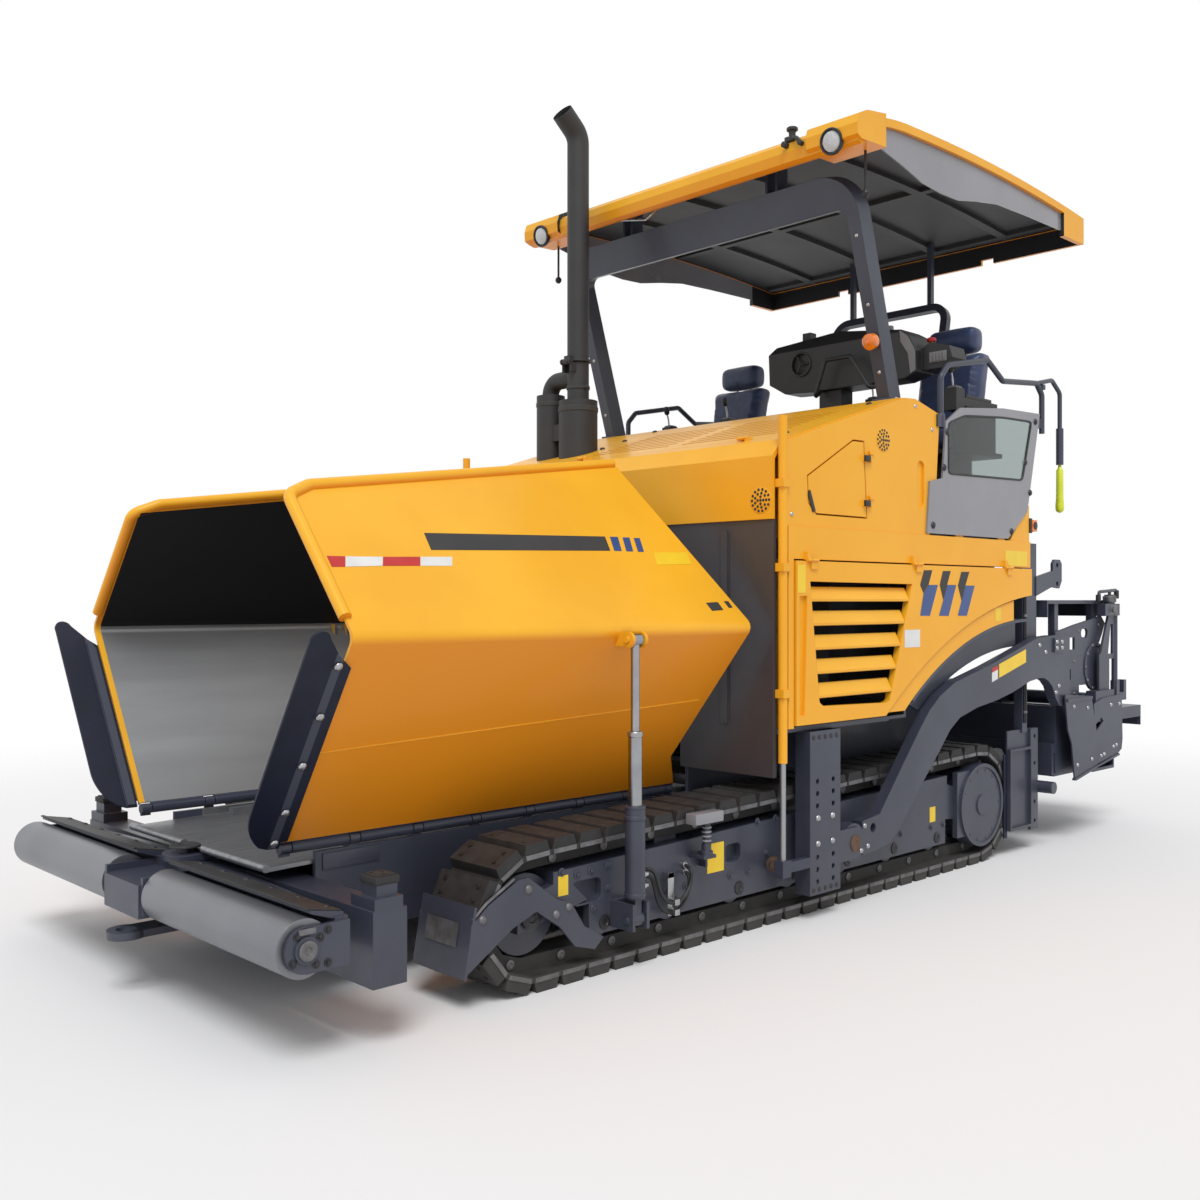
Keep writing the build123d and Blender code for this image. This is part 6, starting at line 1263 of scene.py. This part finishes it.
makePieces({
    "consoleEdge": ("greyPlastic", "console", "plastic", "one", [
        (addPlate, [facePoint(y, z) for y, z in consoleOutline], (0.005, 0, 0), 0.001),
    ]),
    "consoleDial": ("mouldedPlastic", "console", "plastic", "one", [
        (addTurned, [(0, 0.070), (0.030, 0.070), (0.034, 0.078), (0.038, 0.078), (0.040, 0.074), (0.040, 0.066),
                     (0.014, 0.062)], (-0.9625, 0.19, 3.03), ahead, 40),
        *(spoke(turn) for turn in dialSpokeTurns),
    ]),
    "podRibs": ("greyPlastic", "console", "plastic", "one", [
        (addBox, (-0.992, 1.055, 2.925), (-0.982, 1.165, 2.985), 0.003),
        *((addBox, (-0.983, 1.066 + place * 0.020, 2.93), (-0.974, 1.075 + place * 0.020, 2.98), 0.002)
          for place in range(5)),
    ]),
    "stopStem": ("signYellow", "console", "plastic", "one", [
        (addTurned, [(0, 0.019), (0.02, 0.019), (0.024, 0.012), (0.034, 0.012)], (-1.06, 1.025, 3.026), up, 16),
    ]),
    "stopKnob": ("redPlastic", "console", "plastic", "one", [
        (addTurned, [(0, 0.016), (0.006, 0.026), (0.018, 0.028), (0.026, 0.022), (0.029, 0.008)],
         (-1.06, 1.025, 3.058), up, 20),
    ]),
    "consoleKeys": ("greyPlastic", "console", "plastic", "one", [
        *((addBox, (-1.12, y, 3.13), (-1.08, y + 0.04, 3.162)) for y in (0.42, 0.50, 0.58, 0.66)),
        *((addTurned, [(0, 0.012), (0.018, 0.012), (0.02, 0.009)], (-1.03, y, z), up, 12)
          for y, z in ((0.30, 3.168), (0.36, 3.172))),
        (addBox, (-1.02, 0.70, 3.13), (-0.99, 0.80, 3.185), 0.006),
    ]),
    "armPads": ("greyPlastic", "tractor", "plastic", "both", [
        *((addBox, (-1.19, y - 0.030, 2.788), (-1.115, y + 0.030, 2.800)) for y in armY),
        *((addBox, (x, y - 0.026, 2.799), (x + 0.008, y + 0.026, 2.805), 0.0015)
          for y in armY for x in (-1.18, -1.164, -1.148, -1.132)),
    ]),
    "levers": ("boltSteel", "tractor", "steel", "both", [
        (addTube, bent([(-1.135, y, 2.80), (-1.13, y, 2.845), (-1.115, y, 2.885)], 0.02, 3), 0.006, 8)
        for y in armY
    ]),
    "leverGrips": ("mouldedPlastic", "tractor", "plastic", "both", [
        *((addTurned, [(0, 0.010), (0.01, 0.018), (0.04, 0.020), (0.055, 0.014), (0.06, 0.005)],
           (-1.118, y, 2.878), (0.3, 0, 1), 16) for y in armY),
        *((addBox, (-1.52, y - 0.036, 2.739), (-1.22, y + 0.036, 2.762), 0.010) for y in armY),
    ]),
    "windowSeals": ("hoseRubber", "tractor", "rubber", "both", [
        (addTube, sealRun(sealLook), sealLook["radius"], 8, True),
    ]),
    "markerRods": ("limePlastic", "tractor", "plastic", "both", [
        (addTurned, [(0, 0.006), (0.008, 0.020), (0.02, 0.026), (0.045, 0.027), (0.09, 0.023), (0.27, 0.022),
                     (0.285, 0.012), (0.31, 0.008)], (-2.262, 1.222, 2.12), up, 20),
    ]),
    "railSleeves": ("slatePaint", "tractor", "slate", "both", [
        (addTurned, [(0, 0.020), (0.008, 0.0245), (0.07, 0.0245), (0.078, 0.020)],
         (-0.827, 1.222, 2.522), up, 20),
        (addBox, (-2.03, 1.212, 2.87), (-1.99, 1.244, 2.905), 0.008),
    ]),
})
makeRepeats({
    "screenKnobs": ("domeBolt", "darkSteel", "tractor", "iron", "both", 0.0135,
                    onSide(1.239, ((-0.868, 2.50), (-0.835, 2.30), (-1.77, 2.40), (-1.90, 2.66), (-1.83, 2.22),
                                   (-1.60, 1.975), (-0.72, 1.975)))),
})

# Screed: cover screws, deck handles and slots, gate bolts, crank gears with their grips

gateY, crankY = 1.252, 1.202


def deckHandle(y):
    route = [(-2.36, y, 1.56), (-2.36, y, 1.625), (-2.36, y + 0.26, 1.625), (-2.36, y + 0.26, 1.56)]
    return addTube, bent(route, 0.035, 4), 0.012, 10


makeRepeats({
    "coverScrews": ("domeBolt", "shoeSteel", "screed", "steel", "both", 0.0078,
                    ring((-2.905, 1.168, 1.116), 0.150, 10, out)
                    + onSide(1.16, ((-2.42, 1.33), (-2.66, 1.36), (-2.60, 1.16), (-2.44, 0.95), (-2.60, 0.95),
                                    (-2.96, 1.40)))),
    "gateBolts": ("domeBolt", "boltSteel", "extension_*", "steel", "each", 0.009,
                  onSide(gateY, ((-2.80, 0.530), (-2.845, 0.537), (-2.99, 0.575), (-3.035, 0.583),
                                 (-2.45, 0.50), (-2.66, 0.52), (-2.95, 0.86),
                                 (-3.08, 0.86), (-2.60, 0.86), (-2.40, 0.88)))),
})
makePieces({
    "deckHandles": ("mouldedPlastic", "screed", "plastic", "one", [deckHandle(0.72), deckHandle(-0.98)]),
    # the slots are thin charcoal plates: painted shade inside the slots
    "deckSlots": ("charcoalPaint", "screed", "charcoal", "one", [
        (addBox, (-2.2165, y, 1.47), (-2.2145, y + 0.10, 1.53), 0.0) for y in (-0.9, -0.45, 0.25, 0.62, 0.90)
    ]),
    "crankGear": ("shoeSteel", "extension_*", "steel", "each", [
        (addTurned, [(0, 0.040), (0.006, 0.044), (0.040, 0.044), (0.046, 0.038)], (-3.04, crankY, 1.548), up),
        (addBox, (-3.10, crankY - 0.033, 1.468), (-2.985, crankY + 0.033, 1.532), 0.006),
        (addTurned, [(0, 0.020), (0.012, 0.020), (0.014, 0.014)], (-3.02, crankY + 0.033, 1.50), out, 16),
    ]),
    "crankGrips": ("mouldedPlastic", "extension_*", "plastic", "each", [
        (addTube, [(-3.150, crankY, 1.632), (-3.150, crankY, 1.575)], 0.017, 12),
        (addTube, [(-2.868, crankY, 1.60), (-2.866, crankY, 1.555)], 0.017, 12),
    ]),
})
print("platform and screed done")

# Seats: foam cushions under taut covers, swollen by a cloth simulation

seatLook = {
    "voxel": 0.009,
    "frames": 20,
    "cap": 0.022,
    "fill": 0.7,
    "middle": 0.85,
    "roundSteps": 4,
    # name: low corner, high corner, edge rounding, lean, heights between which it leans (y 0 is its middle)
    "parts": {
        "cushion": ((-1.585, -0.232, 2.462), (-1.118, 0.232, 2.582), 0.045, 0.0, (0.0, 1.0)),
        "backrest": ((-1.600, -0.232, 2.575), (-1.460, 0.232, 3.09), 0.055, -0.098, (2.560, 3.06)),
        "headrest": ((-1.700, -0.165, 3.085), (-1.560, 0.165, 3.245), 0.06, 0.0, (0.0, 1.0)),
    },
    "posts": [
        *((addTube, [(-1.648, y, 3.02), (-1.634, y, 3.16)], 0.007, 10) for y in (0.79, 0.91)),
        *((addBox, (-1.60, y, 2.47), (-1.50, y + 0.02, 2.66), 0.006) for y in (0.625, 1.055)),
    ],
}
clothLook = {
    "use_pressure": True, "uniform_pressure_force": 4.0, "tension_stiffness": 8, "compression_stiffness": 8,
    "bending_stiffness": 0.3,
}


def seatBase(look, name):
    low, high, soft, lean, (bottom, top) = look["parts"][name]
    shape = bmesh.new()
    addBox(shape, low, high, 0)
    bmesh.ops.bevel(shape, geom=shape.edges[:], offset=soft, segments=look["roundSteps"],
                    profile=shapeLook["roundProfile"], affect="EDGES")
    for point in shape.verts:
        point.co.x += lean * (point.co.z - bottom) / (top - bottom)
    return linkMesh(shape, name)


def swell(thing, look):
    remesh = thing.modifiers.new("remesh", "REMESH")
    remesh.mode = "VOXEL"
    remesh.voxel_size = look["voxel"]
    applyModifiers(thing)
    start = [point.co.copy() for point in thing.data.vertices]
    cloth = thing.modifiers.new("cloth", "CLOTH")
    for word, value in clothLook.items():
        setattr(cloth.settings, word, value)
    cloth.settings.effector_weights.gravity = 0
    cloth.point_cache.frame_start = 1
    cloth.point_cache.frame_end = look["frames"]
    for moment in range(1, look["frames"] + 1):
        bpy.context.scene.frame_set(moment)
        bpy.context.view_layer.update()
    applyModifiers(thing)
    bpy.context.scene.frame_set(1)
    for point, before in zip(thing.data.vertices, start):
        shift = point.co - before
        if shift.length > look["cap"]:
            point.co = before + shift * (look["cap"] / shift.length)
    thing.modifiers.new("smooth", "SUBSURF").levels = 1
    applyModifiers(thing)


def makeSeats(look):
    for name in look["parts"]:
        base = seatBase(look, name)
        swell(base, look)
        for side, mirror in sides:
            mesh = base.data.copy()
            mesh.transform(Matrix.Translation((drawingShift, mirror * look["middle"], 0)))
            mesh.materials.clear()
            mesh.materials.append(finishes["seatFabric"])
            mesh.shade_smooth()
            piece = bpy.data.objects.new("seat_" + name + "_" + side, mesh)
            bpy.context.collection.objects.link(piece)
            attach(piece, "tractor")
            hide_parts("seat_" + side)
        bpy.data.objects.remove(base)
    makePieces({"seatPosts": ("mouldedPlastic", "tractor", "plastic", "both", look["posts"])})


makeSeats(seatLook)
for pattern in patterns.values():
    bpy.data.objects.remove(pattern)
print("seats done")
